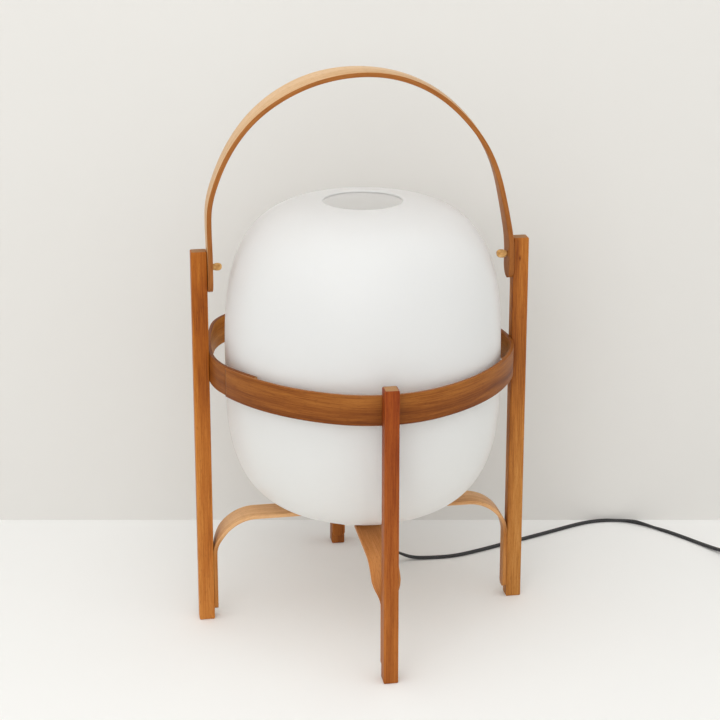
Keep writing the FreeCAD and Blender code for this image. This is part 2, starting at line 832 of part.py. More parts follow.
def coil_path():
    """Clockwise half turns inwards, a half turn that climbs, then half turns outwards on top."""
    def half_turn(here, heading, radius):
        across = Vector(heading.y, -heading.x, 0)
        end = here + across * (2 * radius)
        return tangent_arc(here, heading, end)[0], end, heading * -1

    here = coil_start()
    heading = switch_direction()
    radius = coil_outer
    edges = []
    length = 0.0
    for _ in range(coil_half_turns_in):
        edge, here, heading = half_turn(here, heading, radius)
        edges.append(edge)
        length += math.pi * radius
        radius -= coil_step / 2
    radius += coil_step / 2

    across = Vector(heading.y, -heading.x, 0)
    rise = Vector(0, 0, coil_step)
    top = here + across * radius + heading * math.sqrt(radius ** 2 + coil_step ** 2 / 4) + rise * 0.5
    edge, leaving = tangent_arc(here, heading, top)
    edges.append(edge)
    here = here + across * (2 * radius) + rise
    edges.append(tangent_arc(top, leaving, here)[0])
    length += edges[-1].Length + edges[-2].Length
    heading = heading * -1

    for _ in range(coil_half_turns_out):
        edge, here, heading = half_turn(here, heading, radius)
        edges.append(edge)
        length += math.pi * radius
        radius += coil_step / 2
    across = Vector(heading.y, -heading.x, 0)
    quarter = here + across * radius + heading * radius
    edge, heading = tangent_arc(here, heading, quarter)
    edges.append(edge)
    length += math.pi * radius / 2
    return Part.Wire(edges), quarter, heading, length


def coil():
    path, end, heading, length = coil_path()
    solid = piped(path, cord_radius, coil_start(), switch_direction())
    print("coil length", round(length, 1), "volume share",
          round(solid.Volume / (math.pi * cord_radius ** 2 * length), 4),
          "self gap", round(self_gap(path), 3))
    return solid


def self_gap(path):
    """Least clear distance between two stretches of the coil, measured on points."""
    points = []
    for edge in path.Edges:
        points += edge.discretize(40)[:-1]
    skip = int(1.2 * math.pi * 3 * cord_radius / points[0].distanceToPoint(points[1]))
    least = 1e9
    for i, a in enumerate(points):
        for b in points[i + skip::2]:
            least = min(least, a.distanceToPoint(b))
    return least - 2 * cord_radius


# switch

def switch_direction():
    a = math.radians(switch_turn)
    return Vector(math.cos(a), math.sin(a), 0)


def in_switch_frame(shape):
    placed = shape.copy()
    place = Placement(Vector(switch_centre[0], switch_centre[1], 0), Rotation(up, switch_turn))
    placed.Placement = place.multiply(shape.Placement)
    return placed


def switch_end(side):
    """Point on the cord's axis at the end of the switch's boot."""
    middle = Vector(switch_centre[0], switch_centre[1], cord_axis_at_switch)
    return middle + switch_direction() * (side * (switch_length / 2 + switch_boot))


def switch_block():
    """Rounded outside of both shells."""
    half_l = switch_length / 2
    half_w = switch_width / 2
    block = box((-half_l, -half_w, 0), (half_l, half_w, switch_height))
    upright = [e for e in block.Edges if abs(e.CenterOfMass.z - switch_height / 2) < 0.1]
    block = block.makeFillet(7.0, upright)
    rims = [e for e in block.Edges if e.BoundBox.ZLength < 0.01]
    block = block.makeFillet(2.0, rims)
    return block


def switch_room():
    half_l = switch_length / 2 - switch_wall
    half_w = switch_width / 2 - switch_wall
    room = box((-half_l, -half_w, switch_wall), (half_l, half_w, switch_height - switch_wall))
    upright = [e for e in room.Edges if abs(e.CenterOfMass.z - switch_height / 2) < 0.1]
    return room.makeFillet(5.0, upright)


def switch_posts():
    """Screw posts inside the shells."""
    posts = []
    for side in (-1, 1):
        x = side * (switch_length / 2 - 7.5)
        for y in (-6.6, 6.6):
            posts.append(rod(2.4, (x, y, switch_wall - 0.5), (x, y, switch_height - switch_wall + 0.5)))
    return posts


def switch_shell(lower):
    split = cord_axis_at_switch
    body = switch_block().cut(switch_room())
    for support in switch_posts():
        body = body.fuse(support)
    half_l = switch_length / 2 + 1
    half_w = switch_width / 2 + 1
    if lower:
        keep = box((-half_l, -half_w, -1), (half_l, half_w, split))
    else:
        keep = box((-half_l, -half_w, split), (half_l, half_w, switch_height + 1))
    body = body.common(keep)
    body = body.cut(rod(cord_radius + 0.1, (-half_l, 0, split), (half_l, 0, split)))
    for x, y in switch_screw_places():
        body = body.cut(rod(1.05, (x, y, -1), (x, y, switch_height - 2.5)))
        if lower:
            body = body.cut(rod(2.05, (x, y, -1), (x, y, 2.0)))
    if not lower:
        body = body.cut(rocker_window())
        body = body.cut(rod(rocker_pin_radius, (0, -8.2, rocker_axis()), (0, 8.2, rocker_axis())))
    return body


def switch_screw_places():
    x = switch_length / 2 - 7.5
    return [(-x, -6.6), (x, 6.6)]


def switch_screws():
    shapes = []
    for x, y in switch_screw_places():
        shank = rod(1.0, (x, y, 0.6), (x, y, switch_height - 3))
        shapes.append(shank.fuse(rod(2.0, (x, y, 0.6), (x, y, 2.0))))
    return Part.makeCompound(shapes)


def rocker_axis():
    return switch_height - 4.2


def rocker_window():
    half_l = rocker_radius + rocker_gap
    half_w = rocker_width / 2 + rocker_gap
    return box((-half_l, -half_w, cord_axis_at_switch + 3.6), (half_l, half_w, switch_height + 1))


def rocker():
    """Rocker about its pin, modelled tipped to its first position."""
    axis = rocker_axis()
    half_w = rocker_width / 2
    round_body = rod(rocker_radius, (0, -half_w, axis), (0, half_w, axis))
    start = -half_w - 1
    dip = axis + 3.6
    rise = axis + 3.6 + 0.11 * rocker_radius
    reach = rocker_radius + 1
    profile = [(-reach, start, axis + 0.5), (-0.9, start, axis - 1.3), (0.9, start, axis - 1.3),
               (reach, start, axis + 0.4), (reach, start, rise), (0, start, dip), (-reach, start, rise)]
    body = round_body.common(face_of(profile).extrude(Vector(0, rocker_width + 2, 0)))
    body = body.cut(rod(rocker_pin_radius + 0.06, (0, -half_w - 1, axis), (0, half_w + 1, axis)))
    body.rotate(Vector(0, 0, axis), Vector(0, 1, 0), -rocker_tilt)
    return body


def rocker_pin():
    return rod(rocker_pin_radius, (0, -8.0, rocker_axis()), (0, 8.0, rocker_axis()))


def switch_boots():
    """Soft tapered sleeves where the cord enters and leaves."""
    shapes = []
    axis = cord_axis_at_switch
    for side in (-1, 1):
        base = Vector(side * switch_length / 2, 0, axis)
        cone = Part.makeCone(5.2, cord_radius + 0.8, switch_boot, base, Vector(side, 0, 0))
        hole = rod(cord_radius + 0.1, (side * switch_length / 2, 0, axis),
                   (side * (switch_length / 2 + switch_boot), 0, axis))
        shapes.append(cone.cut(hole))
    return Part.makeCompound(shapes)


def cord_in_switch():
    """The cord's stretch inside the boots and the shells."""
    return rod(cord_radius, tuple(switch_end(-1)), tuple(switch_end(1)))


# plug

def tail_route():
    _, end, heading, _ = coil_path()
    drop = Vector(0, 0, plug_height / 2 - end.z)
    side = Vector(-heading.y, heading.x, 0)
    return [end, end + heading * 20.0, end + heading * 42.0 + side * 1.2 + drop,
            end + heading * 62.0 + side * 4.0 + drop]


def in_plug_frame(shape):
    """From the plug's own frame, cord entering at the origin and pins along +X."""
    route = tail_route()
    line = route[-1] - route[-2]
    placed = shape.copy()
    placed.Placement = Placement(Vector(*route[-1]), Rotation(Vector(1, 0, 0), line))
    return placed


def plug_relief_sleeve():
    cone = Part.makeCone(cord_radius + 0.9, 5.6, plug_relief, Vector(0, 0, 0), Vector(1, 0, 0))
    return in_plug_frame(cone)


def plug_body():
    half_w = plug_width / 2
    half_h = plug_height / 2 - 0.1
    start = plug_relief
    body = box((start, -half_w, -half_h), (start + plug_length, half_w, half_h))
    ends = [e for e in body.Edges if e.BoundBox.ZLength > 1]
    body = body.makeFillet(plug_round, ends)
    rims = [e for e in body.Edges if e.BoundBox.ZLength < 0.01 and e.BoundBox.XLength + e.BoundBox.YLength > 1]
    body = body.makeFillet(2.5, rims)
    for side in (-1, 1):
        y = side * plug_pin_spacing / 2
        body = body.cut(rod(plug_pin_radius, (start + plug_length - 8, y, 0), (start + plug_length + 1, y, 0)))
    return in_plug_frame(body)


def plug_pins():
    shapes = []
    start = plug_relief + plug_length - 8
    for side in (-1, 1):
        y = side * plug_pin_spacing / 2
        pin = rod(plug_pin_radius, (start, y, 0), (start + 8 + plug_pin_length, y, 0))
        tip = [e for e in pin.Edges if e.BoundBox.XLength < 0.01 and e.CenterOfMass.x > start + 9]
        pin = pin.makeFillet(1.2, tip)
        shapes.append(in_plug_frame(pin))
    return Part.makeCompound(shapes)


# everything

def mirrored_lace():
    return at_post(2, pivot_lace())


def run_to_switch():
    inlet = switch_end(-1)
    start = relief_end()
    route = [tuple(start), tuple(start + relief_direction() * 11.0)] + lamp_route
    route.append(tuple(inlet - switch_direction() * 12.0))
    route.append(tuple(inlet))
    return tube(route, cord_radius, "cord to switch")


def run_to_coil():
    outlet = switch_end(1)
    end = coil_start()
    heading = switch_direction()
    route = [outlet, outlet + heading * 14.0, end - heading * 14.0, end]
    return tube([tuple(p) for p in route], cord_radius, "cord to coil")


def run_to_plug():
    return tube([tuple(p) for p in tail_route()], cord_radius, "cord to plug")


os.makedirs("parts", exist_ok=True)

save("right_post", at_post(0, post(tall_post_height, True)))
save("back_post", at_post(1, post(short_post_height, False)))
save("left_post", at_post(2, post(tall_post_height, True)))
save("front_post", at_post(3, post(short_post_height, False)))
save("hoop", hoop())
save("left_right_brace", brace(brace_top))
save("front_back_brace", at_post(1, brace(brace_top - brace_thickness)))
save("handle", handle())
save("right_pivot_lace", pivot_lace())
save("left_pivot_lace", mirrored_lace())
save("hoop_dowels", Part.makeCompound(
    [at_post(k, dowel(hoop_dowel_radius, hoop_thickness, hoop_middle)) for k in range(4)]))
save("brace_dowels", Part.makeCompound(
    [at_post(k, dowel(brace_dowel_radius, brace_thickness, level))
     for k in range(4) for level in brace_dowel_heights]))
save("globe", globe())
save("support_plate", support_plate())
save("plate_gasket", gasket())
save("threaded_nipple", nipple())
save("nipple_washer", washer())
save("nipple_nut", nut())
save("cord_relief", cord_relief())
save("holder_base", holder_base())
save("holder_skirt", holder_skirt())
save("holder_insert", holder_insert())
save("thread_shell", thread_shell())
save("centre_contact", centre_contact())
save("terminal_screws", terminal_screws())
save("supply_wires", supply_wires())
save("shade_ring", shade_ring())
save("bulb_glass", bulb_glass())
save("bulb_cap", bulb_cap())
save("bulb_contact", bulb_contact())
save("cord_run", run_to_switch())
save("cord_lead", run_to_coil())
save("cord_coil", coil())
save("cord_tail", run_to_plug())
save("cord_core", cord_in_switch())
save("switch_lower_shell", in_switch_frame(switch_shell(True)))
save("switch_upper_shell", in_switch_frame(switch_shell(False)))
save("switch_screws", in_switch_frame(switch_screws()))
save("switch_boots", in_switch_frame(switch_boots()))
save("switch_rocker", in_switch_frame(rocker()))
save("rocker_pin", in_switch_frame(rocker_pin()))
save("plug_relief", plug_relief_sleeve())
save("plug_body", plug_body())
save("plug_pins", plug_pins())
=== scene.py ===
import math
import bpy
import numpy as np
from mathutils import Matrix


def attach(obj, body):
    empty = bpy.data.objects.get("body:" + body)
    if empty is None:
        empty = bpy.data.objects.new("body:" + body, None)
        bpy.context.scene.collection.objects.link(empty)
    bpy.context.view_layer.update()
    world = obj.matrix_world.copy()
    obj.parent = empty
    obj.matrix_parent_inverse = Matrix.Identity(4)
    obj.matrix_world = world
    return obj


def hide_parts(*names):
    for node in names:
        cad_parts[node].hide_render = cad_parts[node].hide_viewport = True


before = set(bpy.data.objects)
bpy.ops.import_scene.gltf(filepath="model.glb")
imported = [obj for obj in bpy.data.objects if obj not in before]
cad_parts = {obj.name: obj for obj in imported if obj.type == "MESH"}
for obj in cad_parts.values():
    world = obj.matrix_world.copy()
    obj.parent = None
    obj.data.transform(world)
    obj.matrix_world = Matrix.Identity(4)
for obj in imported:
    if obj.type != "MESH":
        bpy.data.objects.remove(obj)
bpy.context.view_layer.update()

mm = 0.001      # the dictionaries of the lamp's pieces are in millimetres


def addObject(name, data):
    item = bpy.data.objects.new(name, data)
    bpy.context.collection.objects.link(item)
    return item


# camera at the photograph's angle and framing, in metres
view = {
    "turn": -9.6644,        # degrees round the lamp, from straight in front
    "tilt": 15.1347,        # degrees above level
    "distance": 1.834467,   # from the point on the lamp's axis that it is aimed at
    "aimHeight": 0.405979,
    "sideStep": -0.001385,
    "lens": 90.803,         # lens and sensor in millimetres
    "sensor": 36.0,
    "shiftDown": -0.17,
    "seesTo": 50.0,
}


def makeCamera():
    # the place is a point on a ball round the aim: turn goes round it and tilt goes up
    turn = math.radians(view["turn"])
    tilt = math.radians(view["tilt"])
    level = math.cos(tilt)
    back = np.array([math.sin(turn) * level, -math.cos(turn) * level, math.sin(tilt)])
    right = np.array([math.cos(turn), math.sin(turn), 0.0])
    aim = np.array([0, 0, view["aimHeight"]])
    data = bpy.data.cameras.new("camera")
    data.lens = view["lens"]
    data.sensor_width = view["sensor"]
    data.shift_y = view["shiftDown"]
    data.clip_end = view["seesTo"]
    data.dof.use_dof = False
    camera = addObject("camera", data)
    camera.location = aim + right * view["sideStep"] + back * view["distance"]
    camera.rotation_euler = (math.pi / 2 - tilt, 0.0, turn)
    bpy.context.scene.camera = camera


makeCamera()
print("camera ready")


# helpers that turn grids of points into meshes

cornerSteps = 4         # faces round each rounded corner of a strip
cornerLimit = 0.98      # largest corner, as a share of the section's smaller half size


def readAll(items, name, width=1, kind=float):
    # one property of every item of a collection, as an array
    values = np.zeros(len(items) * width, dtype=kind)
    items.foreach_get(name, values)
    return values


def fullTurn(count):
    # angles all the way round, without the last one, which is the first again
    return np.linspace(0, 2 * math.pi, count, endpoint=False)


def unit(a):
    # each row over its own length
    return a / np.linalg.norm(a, axis=-1, keepdims=True)


def runLengths(points):
    # distance along a line of points, from the first one to each
    return np.concatenate([[0], np.cumsum(np.linalg.norm(np.diff(points, axis=0), axis=1))])


def addMesh(name, points, faces, uv=None, smooth=True, slots=(), faceSlots=None):
    # piece from an array of points; uv holds one place for each point
    mesh = bpy.data.meshes.new(name)
    mesh.from_pydata(np.asarray(points, float).reshape(-1, 3).tolist(), [], faces)
    piece = addObject(name, mesh)
    mesh.polygons.foreach_set("use_smooth", np.full(len(mesh.polygons), smooth))
    if uv is not None:
        corner = readAll(mesh.loops, "vertex_index", kind=np.int32)
        layer = mesh.uv_layers.new(name="UVMap")
        layer.data.foreach_set("uv", np.asarray(uv, float).reshape(-1, 2)[corner].ravel())
    for material in slots:
        mesh.materials.append(material)
    if faceSlots is not None:
        mesh.polygons.foreach_set("material_index", np.asarray(faceSlots, dtype=np.int32))
    mesh.update()
    return piece


def gridFaces(rows, columns, closeRows=False, closeColumns=False):
    # quads between neighbouring rows and columns of a grid of points
    i = np.arange(rows if closeRows else rows - 1)
    j = np.arange(columns if closeColumns else columns - 1)
    i, j = np.meshgrid(i, j, indexing="ij")
    k, m = (i + 1) % rows, (j + 1) % columns
    quads = np.stack([i * columns + j, i * columns + m, k * columns + m, k * columns + j], axis=-1)
    return quads.reshape(-1, 4)


def tubeFaces(count, around):
    # quads round a tube, and one cap at each end
    ring = list(range(around))
    caps = [ring[::-1], [(count - 1) * around + k for k in ring]]
    return gridFaces(count, around, closeColumns=True).tolist() + caps


def roundedBox(halfWidth, halfDepth, ease):
    # outlines of box sections, one for each station: four quarter circles of radius ease, set in
    # at the corners
    halfWidth, halfDepth, ease = (a[:, None, None] for a in (halfWidth, halfDepth, ease))
    turn = np.linspace(0, math.pi / 2, cornerSteps + 1)
    quarter = np.arange(4)[:, None] * math.pi / 2 + turn
    signX = np.array([1, -1, -1, 1])[:, None]
    signY = np.array([1, 1, -1, -1])[:, None]
    x = signX * (halfWidth - ease) + ease * np.cos(quarter)
    y = signY * (halfDepth - ease) + ease * np.sin(quarter)
    return x.reshape(len(x), -1), y.reshape(len(y), -1)


def fixNormals(piece):
    # merges doubles and turns every face outwards
    import bmesh
    work = bmesh.new()
    work.from_mesh(piece.data)
    bmesh.ops.remove_doubles(work, verts=work.verts, dist=1e-7)
    bmesh.ops.recalc_face_normals(work, faces=work.faces)
    work.to_mesh(piece.data)
    work.free()


def carryStrip(name, centre, wide, deep, halfWidth, halfDepth, ease, slots, endCaps=(1, 1), edges=0,
               inside=0):
    # strip: at each station of a centre line, a rounded box section spread along the wide and
    # deep directions; the section's half sizes may change from station to station. endCaps, edges
    # and inside are the slots of the ends, the narrow edges and the inner wide face.
    count = len(centre)
    halfWidth = np.broadcast_to(halfWidth, (count,))
    halfDepth = np.broadcast_to(halfDepth, (count,))
    corner = np.minimum(ease, np.minimum(halfWidth, halfDepth) * cornerLimit)
    x, y = roundedBox(halfWidth, halfDepth, corner)
    across = x[:, :, None] * wide[:, None, :]
    points = centre[:, None, :] + across + y[:, :, None] * deep[:, None, :]
    around, middle = x.shape[1], count // 2
    step = np.hypot(*(np.diff(a[middle], append=a[middle, 0]) for a in (x, y)))
    girth = np.concatenate([[0], np.cumsum(step)])
    uv = np.stack(np.broadcast_arrays(runLengths(centre)[:, None], girth[None, :-1]), axis=-1)
    half, nearEdge = around // 2, cornerSteps // 2
    column = np.tile(np.arange(around), count - 1)
    narrow = (column % half < nearEdge) | (column % half > half - 2 - nearEdge)
    kinds = np.where(narrow, edges, np.where(column >= half, inside, 0)).tolist()
    piece = addMesh(name, points, tubeFaces(count, around), uv, slots=slots,
                    faceSlots=kinds + list(endCaps))
    fixSeam(piece, girth[-1], around)
    fixNormals(piece)
    return piece


def fixSeam(piece, fullGirth, around):
    # the last column of faces runs on to the full girth instead of back to zero
    mesh = piece.data
    corner = readAll(mesh.loops, "vertex_index", kind=np.int32)
    uv = readAll(mesh.uv_layers[0].data, "uv", 2).reshape(-1, 2)
    starts = readAll(mesh.polygons, "loop_start", kind=np.int32)
    totals = readAll(mesh.polygons, "loop_total", kind=np.int32)
    quad = starts[totals == 4][:, None] + np.arange(4)
    column = corner[quad] % around
    seam = (column.max(axis=1) == around - 1) & (column.min(axis=1) == 0)
    uv[quad[seam][column[seam] == 0], 1] = fullGirth
    mesh.uv_layers[0].data.foreach_set("uv", uv.ravel())


# materials, all worked out with nodes

class Nodes:
    # short way to add and join the shader nodes of a material or of the world
    def __init__(self, name, kind="Material"):
        self.owner = {"Material": bpy.data.materials, "World": bpy.data.worlds}[kind].new(name)
        self.owner.use_nodes = True
        self.tree = self.owner.node_tree
        self.tree.nodes.clear()
        self.output = self.add("Output" + kind)

    def give(self, socket, value):
        # joins the socket to another one, or writes a value into it
        if isinstance(value, bpy.types.NodeSocket):
            self.tree.links.new(value, socket)
        else:
            socket.default_value = value

    def add(self, kind, inputs=None, **settings):
        node = self.tree.nodes.new("ShaderNode" + kind)
        for key, value in settings.items():
            setattr(node, key, value)
        for key, value in (inputs or {}).items():
            self.give(node.inputs[key], value)
        return node

    def place(self, kind="Object"):
        return self.add("TexCoord").outputs[kind]

    def scaled(self, place, scale):
        return self.add("Mapping", {"Vector": place, "Scale": scale}).outputs[0]

    def noise(self, place, scale, detail, **more):
        # noise with one scale, or with one for each direction
        if isinstance(scale, tuple):
            place, scale = self.scaled(place, scale), 1.0
        return self.add("TexNoise", {"Vector": place, "Scale": scale, "Detail": detail, **more})

    def ramp(self, factor, stops):
        node = self.add("ValToRGB", {0: factor})
        elements = node.color_ramp.elements
        while len(elements) < len(stops):
            elements.new(0.5)
        for element, (place, colour) in zip(elements, stops):
            element.position = place
            element.color = (*colour, 1)
        return node.outputs[0]

    def mix(self, factor, a, b, blend="MIX"):
        node = self.add("Mix", data_type="RGBA", blend_type=blend)
        for place, value in zip((0, 6, 7), (factor, a, b)):     # the factor and the two colours
            self.give(node.inputs[place], (*value, 1) if isinstance(value, tuple) else value)
        return node.outputs[2]

    def math(self, operation, a, b):
        return self.add("Math", {0: a, 1: b}, operation=operation).outputs[0]

    def bump(self, height, strength, distance):
        inputs = {"Height": height, "Strength": strength, "Distance": distance}
        return self.add("Bump", inputs).outputs[0]

    def finish(self, shader):
        # the owner, with this shader or with a principled one that has these inputs
        if isinstance(shader, dict):
            shader = self.add("BsdfPrincipled", shader)
        self.tree.links.new(shader.outputs[0], self.output.inputs[0])
        return self.owner


def sway(n, noise, middle, spread):
    # roughness that a noise moves up and down by half the spread
    return n.math("ADD", n.math("MULTIPLY", noise, spread), middle - spread / 2)


wood = {
    # dark, middle and light streaks of each piece, high up and low down
    # the front post's streaks are the darkest: painted shade on its front face
    "frontPost": (((0.1, 0.0095, 0.0006), (0.205, 0.029, 0.0018), (0.33, 0.065, 0.006)),
                  ((0.145, 0.03, 0.003), (0.29, 0.076, 0.0095), (0.44, 0.145, 0.025))),
    "backPost": (((0.12, 0.02, 0.002), (0.235, 0.056, 0.006), (0.36, 0.105, 0.013)),
                 ((0.165, 0.042, 0.0065), (0.32, 0.1, 0.017), (0.46, 0.175, 0.04))),
    "rightPost": (((0.2, 0.047, 0.0055), (0.385, 0.12, 0.0165), (0.54, 0.22, 0.042)),
                  ((0.235, 0.077, 0.014), (0.44, 0.175, 0.035), (0.59, 0.29, 0.085))),
    "leftPost": (((0.175, 0.035, 0.0024), (0.335, 0.09, 0.0075), (0.48, 0.17, 0.022)),
                 ((0.23, 0.061, 0.008), (0.43, 0.138, 0.022), (0.58, 0.235, 0.052))),
    "hoop": (((0.108, 0.024, 0.0024), (0.215, 0.06, 0.007), (0.36, 0.128, 0.021)),) * 2,
    # lighter copy of the hoop's cherry for its inner face: painted light on the face that the globe
    # shades
    "hoopInsidePaintedLight": (((0.24, 0.068, 0.008), (0.41, 0.145, 0.022), (0.56, 0.24, 0.055)),) * 2,
    # the braces' high streaks are much lighter than the low ones: painted sheen on the flat tops,
    # which face up
    "leftRightBrace": (((0.47, 0.22, 0.08), (0.69, 0.395, 0.185), (0.8, 0.52, 0.29)),
                       ((0.22, 0.07, 0.012), (0.4, 0.148, 0.031), (0.54, 0.245, 0.072))),
    "frontBackBrace": (((0.3, 0.095, 0.019), (0.49, 0.19, 0.05), (0.62, 0.29, 0.105)),
                       ((0.2, 0.052, 0.0065), (0.355, 0.112, 0.019), (0.5, 0.195, 0.05))),
    # the handle's high streaks are much lighter than the low ones: painted sheen on the crown's
    # outer face
    "handle": (((0.39, 0.195, 0.076), (0.58, 0.343, 0.162), (0.71, 0.48, 0.28)),
               ((0.24, 0.08, 0.016), (0.41, 0.15, 0.036), (0.55, 0.235, 0.076))),
    # darker copy of the handle's cherry for its narrow edges and inner face: painted shade
    "handleEdgePaintedShade": (((0.19, 0.056, 0.009), (0.31, 0.104, 0.02), (0.43, 0.17, 0.044)),) * 2,
    "stops": (0.57, 0.73, 0.91),        # tone of the dark, middle and light streaks
    # scales along and round the piece, and the detail, of each noise
    "wander": ((7, 18, 1), 2.0), "fine": ((26, 900, 1), 4.0),
    "flecks": ((170, 2100, 1), 2.0), "patches": ((4.5, 14, 1), 1.0),
    "ringScale": (1.6, 62, 1), "seedStep": (3.1, 0.37, 1.0),
    "ringShare": 0.75, "fineShare": 0.46, "patchShare": 0.30,
    "pores": [(0.56, (1, 1, 1)), (0.70, (0.62, 0.54, 0.46))], "poreDepth": 0.8,
    "pinKnot": [(0.1, (0.22, 0.13, 0.10)), (0.45, (0.62, 0.5, 0.42)), (1.0, (1, 1, 1))],
    "roughness": 0.46, "roughSpread": 0.16, "gloss": 0.16,
    "bump": 0.00012, "bumpStrength": 0.35, "fleckDepth": -0.6,
}


def woodMaterial(name, streaks, levels, seed, figure=1.0, pinKnot=None):
    # oiled cherry: U runs along the piece and V round it, both in metres; the colour passes from
    # the low streaks to the high ones between two heights
    n = Nodes(name)
    shift = tuple(seed * step for step in wood["seedStep"])
    along = n.add("Mapping", {"Vector": n.place("UV"), "Location": shift}).outputs[0]
    wander = n.noise(along, *wood["wander"]).outputs["Color"]
    wavy = n.add("VectorMath", {0: n.scaled(along, wood["ringScale"]), 1: wander}, operation="ADD")
    rings = n.noise(wavy.outputs[0], 1.0, 5.0, Roughness=0.55, Distortion=0.35).outputs[0]
    fine = n.noise(along, *wood["fine"], Roughness=0.6).outputs[0]
    flecks = n.noise(along, *wood["flecks"]).outputs[0]
    patches = n.noise(along, *wood["patches"]).outputs[0]
    tone = n.math("ADD", n.math("MULTIPLY", rings, wood["ringShare"] * figure),
                  n.math("ADD", n.math("MULTIPLY", fine, wood["fineShare"]),
                         n.math("MULTIPLY", patches, wood["patchShare"])))
    tone = n.math("ADD", tone, 0.5 * wood["ringShare"] * (1 - figure))

    # on the braces and the handle the high streaks are lighter: there this change with height is
    # painted sheen on the up-facing tops
    high, low = [n.ramp(tone, list(zip(wood["stops"], colours))) for colours in streaks]
    height = n.add("SeparateXYZ", {0: n.place()}).outputs["Z"]
    share = n.add("MapRange", {"Value": height, "From Min": levels[0], "From Max": levels[1]},
                  interpolation_type="SMOOTHSTEP").outputs[0]
    base = n.mix(share, low, high)
    base = n.mix(wood["poreDepth"], base, n.ramp(flecks, wood["pores"]), "MULTIPLY")
    if pinKnot:
        # dark spot: distance from its place, in its own sizes
        size = pinKnot["size"]
        near = n.add("Mapping", {"Vector": n.place(), "Scale": tuple(1 / h for h in size),
                                 "Location": tuple(-p / h for p, h in zip(pinKnot["place"], size))})
        away = n.add("VectorMath", {0: near.outputs[0]}, operation="LENGTH").outputs["Value"]
        base = n.mix(1.0, base, n.ramp(away, wood["pinKnot"]), "MULTIPLY")
    relief = n.math("ADD", fine, n.math("MULTIPLY", flecks, wood["fleckDepth"]))
    rough = sway(n, fine, wood["roughness"], wood["roughSpread"])
    normal = n.bump(relief, wood["bumpStrength"], wood["bump"])
    return n.finish({"Base Color": base, "Roughness": rough, "Normal": normal,
                     "Specular IOR Level": wood["gloss"]})


def endGrainMaterial(name):
    # rings of a wave crossed by fine dots
    n = Nodes(name)
    inputs = {"Vector": n.place(), "Scale": 260.0, "Distortion": 3.0, "Detail": 2.0}
    rings = n.add("TexWave", inputs, wave_type="RINGS").outputs["Fac"]
    dots = n.noise(n.place(), 2600.0, 3.0).outputs[0]
    tone = n.math("ADD", n.math("MULTIPLY", rings, 0.35), n.math("MULTIPLY", dots, 0.65))
    base = n.ramp(tone, [(0.2, (0.27, 0.120, 0.040)), (0.8, (0.48, 0.26, 0.105))])
    return n.finish({"Base Color": base, "Roughness": 0.62, "Specular IOR Level": 0.3})


opal = {
    "outside": {"colour": (0.965, 0.960, 0.935), "weight": 0.7, "depth": 0.02},
    # the inner skin is lighter than the outer one: painted light inside the globe, besides its
    # deeper subsurface that lets daylight through
    "inside": {"colour": (0.985, 0.982, 0.968), "weight": 1.0, "depth": 0.09},
    # the warmer tint towards the foot is painted warm light bounced from the wood
    "paintedBounceTint": (0.985, 0.972, 0.935), "lowFrom": 0.34, "lowTo": 0.17,    # warmer towards the foot
    "roughness": 0.42, "roughSpread": 0.08,
}


def opalMaterial(name, skin):
    # satin opal glass: cased white with a soft skin; daylight comes through the thin wall
    n = Nodes(name)
    soft = n.noise(n.place(), 9.0, 2.0).outputs[0]
    grit = n.noise(n.place(), 900.0, 2.0).outputs[0]
    tint = n.ramp(soft, [(0.3, tuple(c * 0.985 for c in skin["colour"])), (0.7, skin["colour"])])
    height = n.add("SeparateXYZ", {0: n.place()}).outputs["Z"]
    levels = {"Value": height, "From Min": opal["lowFrom"], "From Max": opal["lowTo"]}
    low = n.add("MapRange", levels).outputs[0]
    # towards the foot the colour is warmed: painted bounce light from the wood
    tint = n.mix(low, tint, n.mix(1.0, tint, opal["paintedBounceTint"], "MULTIPLY"))
    rough = sway(n, grit, opal["roughness"], opal["roughSpread"])
    return n.finish({"Base Color": tint, "Roughness": rough,
                     "Normal": n.bump(soft, 0.15, 0.0015), "Specular IOR Level": 0.35,
                     "Subsurface Weight": skin["weight"], "Subsurface Radius": (1.0, 0.97, 0.93),
                     "Subsurface Scale": skin["depth"]})


def leatherMaterial():
    # cloudy tan with a fine cell grain
    n = Nodes("natural leather")
    cells = n.add("TexVoronoi", {"Vector": n.place(), "Scale": 1900.0}).outputs[0]
    cloud = n.noise(n.place(), 260.0, 4.0).outputs[0]
    base = n.ramp(cloud, [(0.3, (0.46, 0.23, 0.060)), (0.7, (0.78, 0.48, 0.180))])
    return n.finish({"Base Color": base, "Roughness": 0.66, "Normal": n.bump(cells, 0.4, 0.0001)})


def plainMaterial(name, colour, roughness, grain=600.0, spread=0.06, bump=0.00003):
    # even finish broken up by a fine grain in colour, gloss and height
    n = Nodes(name)
    noise = n.noise(n.place(), grain, 3.0).outputs[0]
    low = tuple(c * (1 - spread) for c in colour)
    high = tuple(min(1.0, c * (1 + spread)) for c in colour)
    return n.finish({"Base Color": n.ramp(noise, [(0.35, low), (0.65, high)]),
                     "Roughness": sway(n, noise, roughness, 0.12),
                     "Normal": n.bump(noise, 0.3, bump)})


def brushedMaterial(name, colour, roughness):
    # metal with fine level brush lines
    n = Nodes(name)
    lines = n.noise(n.place(), (300, 300, 4000), 3.0).outputs[0]
    base = n.ramp(lines, [(0.3, tuple(c * 0.85 for c in colour)), (0.7, colour)])
    return n.finish({"Base Color": base, "Roughness": sway(n, lines, roughness, 0.2),
                     "Metallic": 1.0})


def bulbMaterial():
    # frosted glass that lets some light through
    n = Nodes("frosted bulb glass")
    grit = n.noise(n.place(), 1500.0, 2.0).outputs[0]
    tint = n.ramp(grit, [(0.3, (0.80, 0.80, 0.79)), (0.7, (0.90, 0.90, 0.88))])
    return n.finish({"Base Color": tint, "Roughness": 0.35, "Normal": n.bump(grit, 0.2, 0.00005),
                     "Transmission Weight": 0.25, "IOR": 1.45})


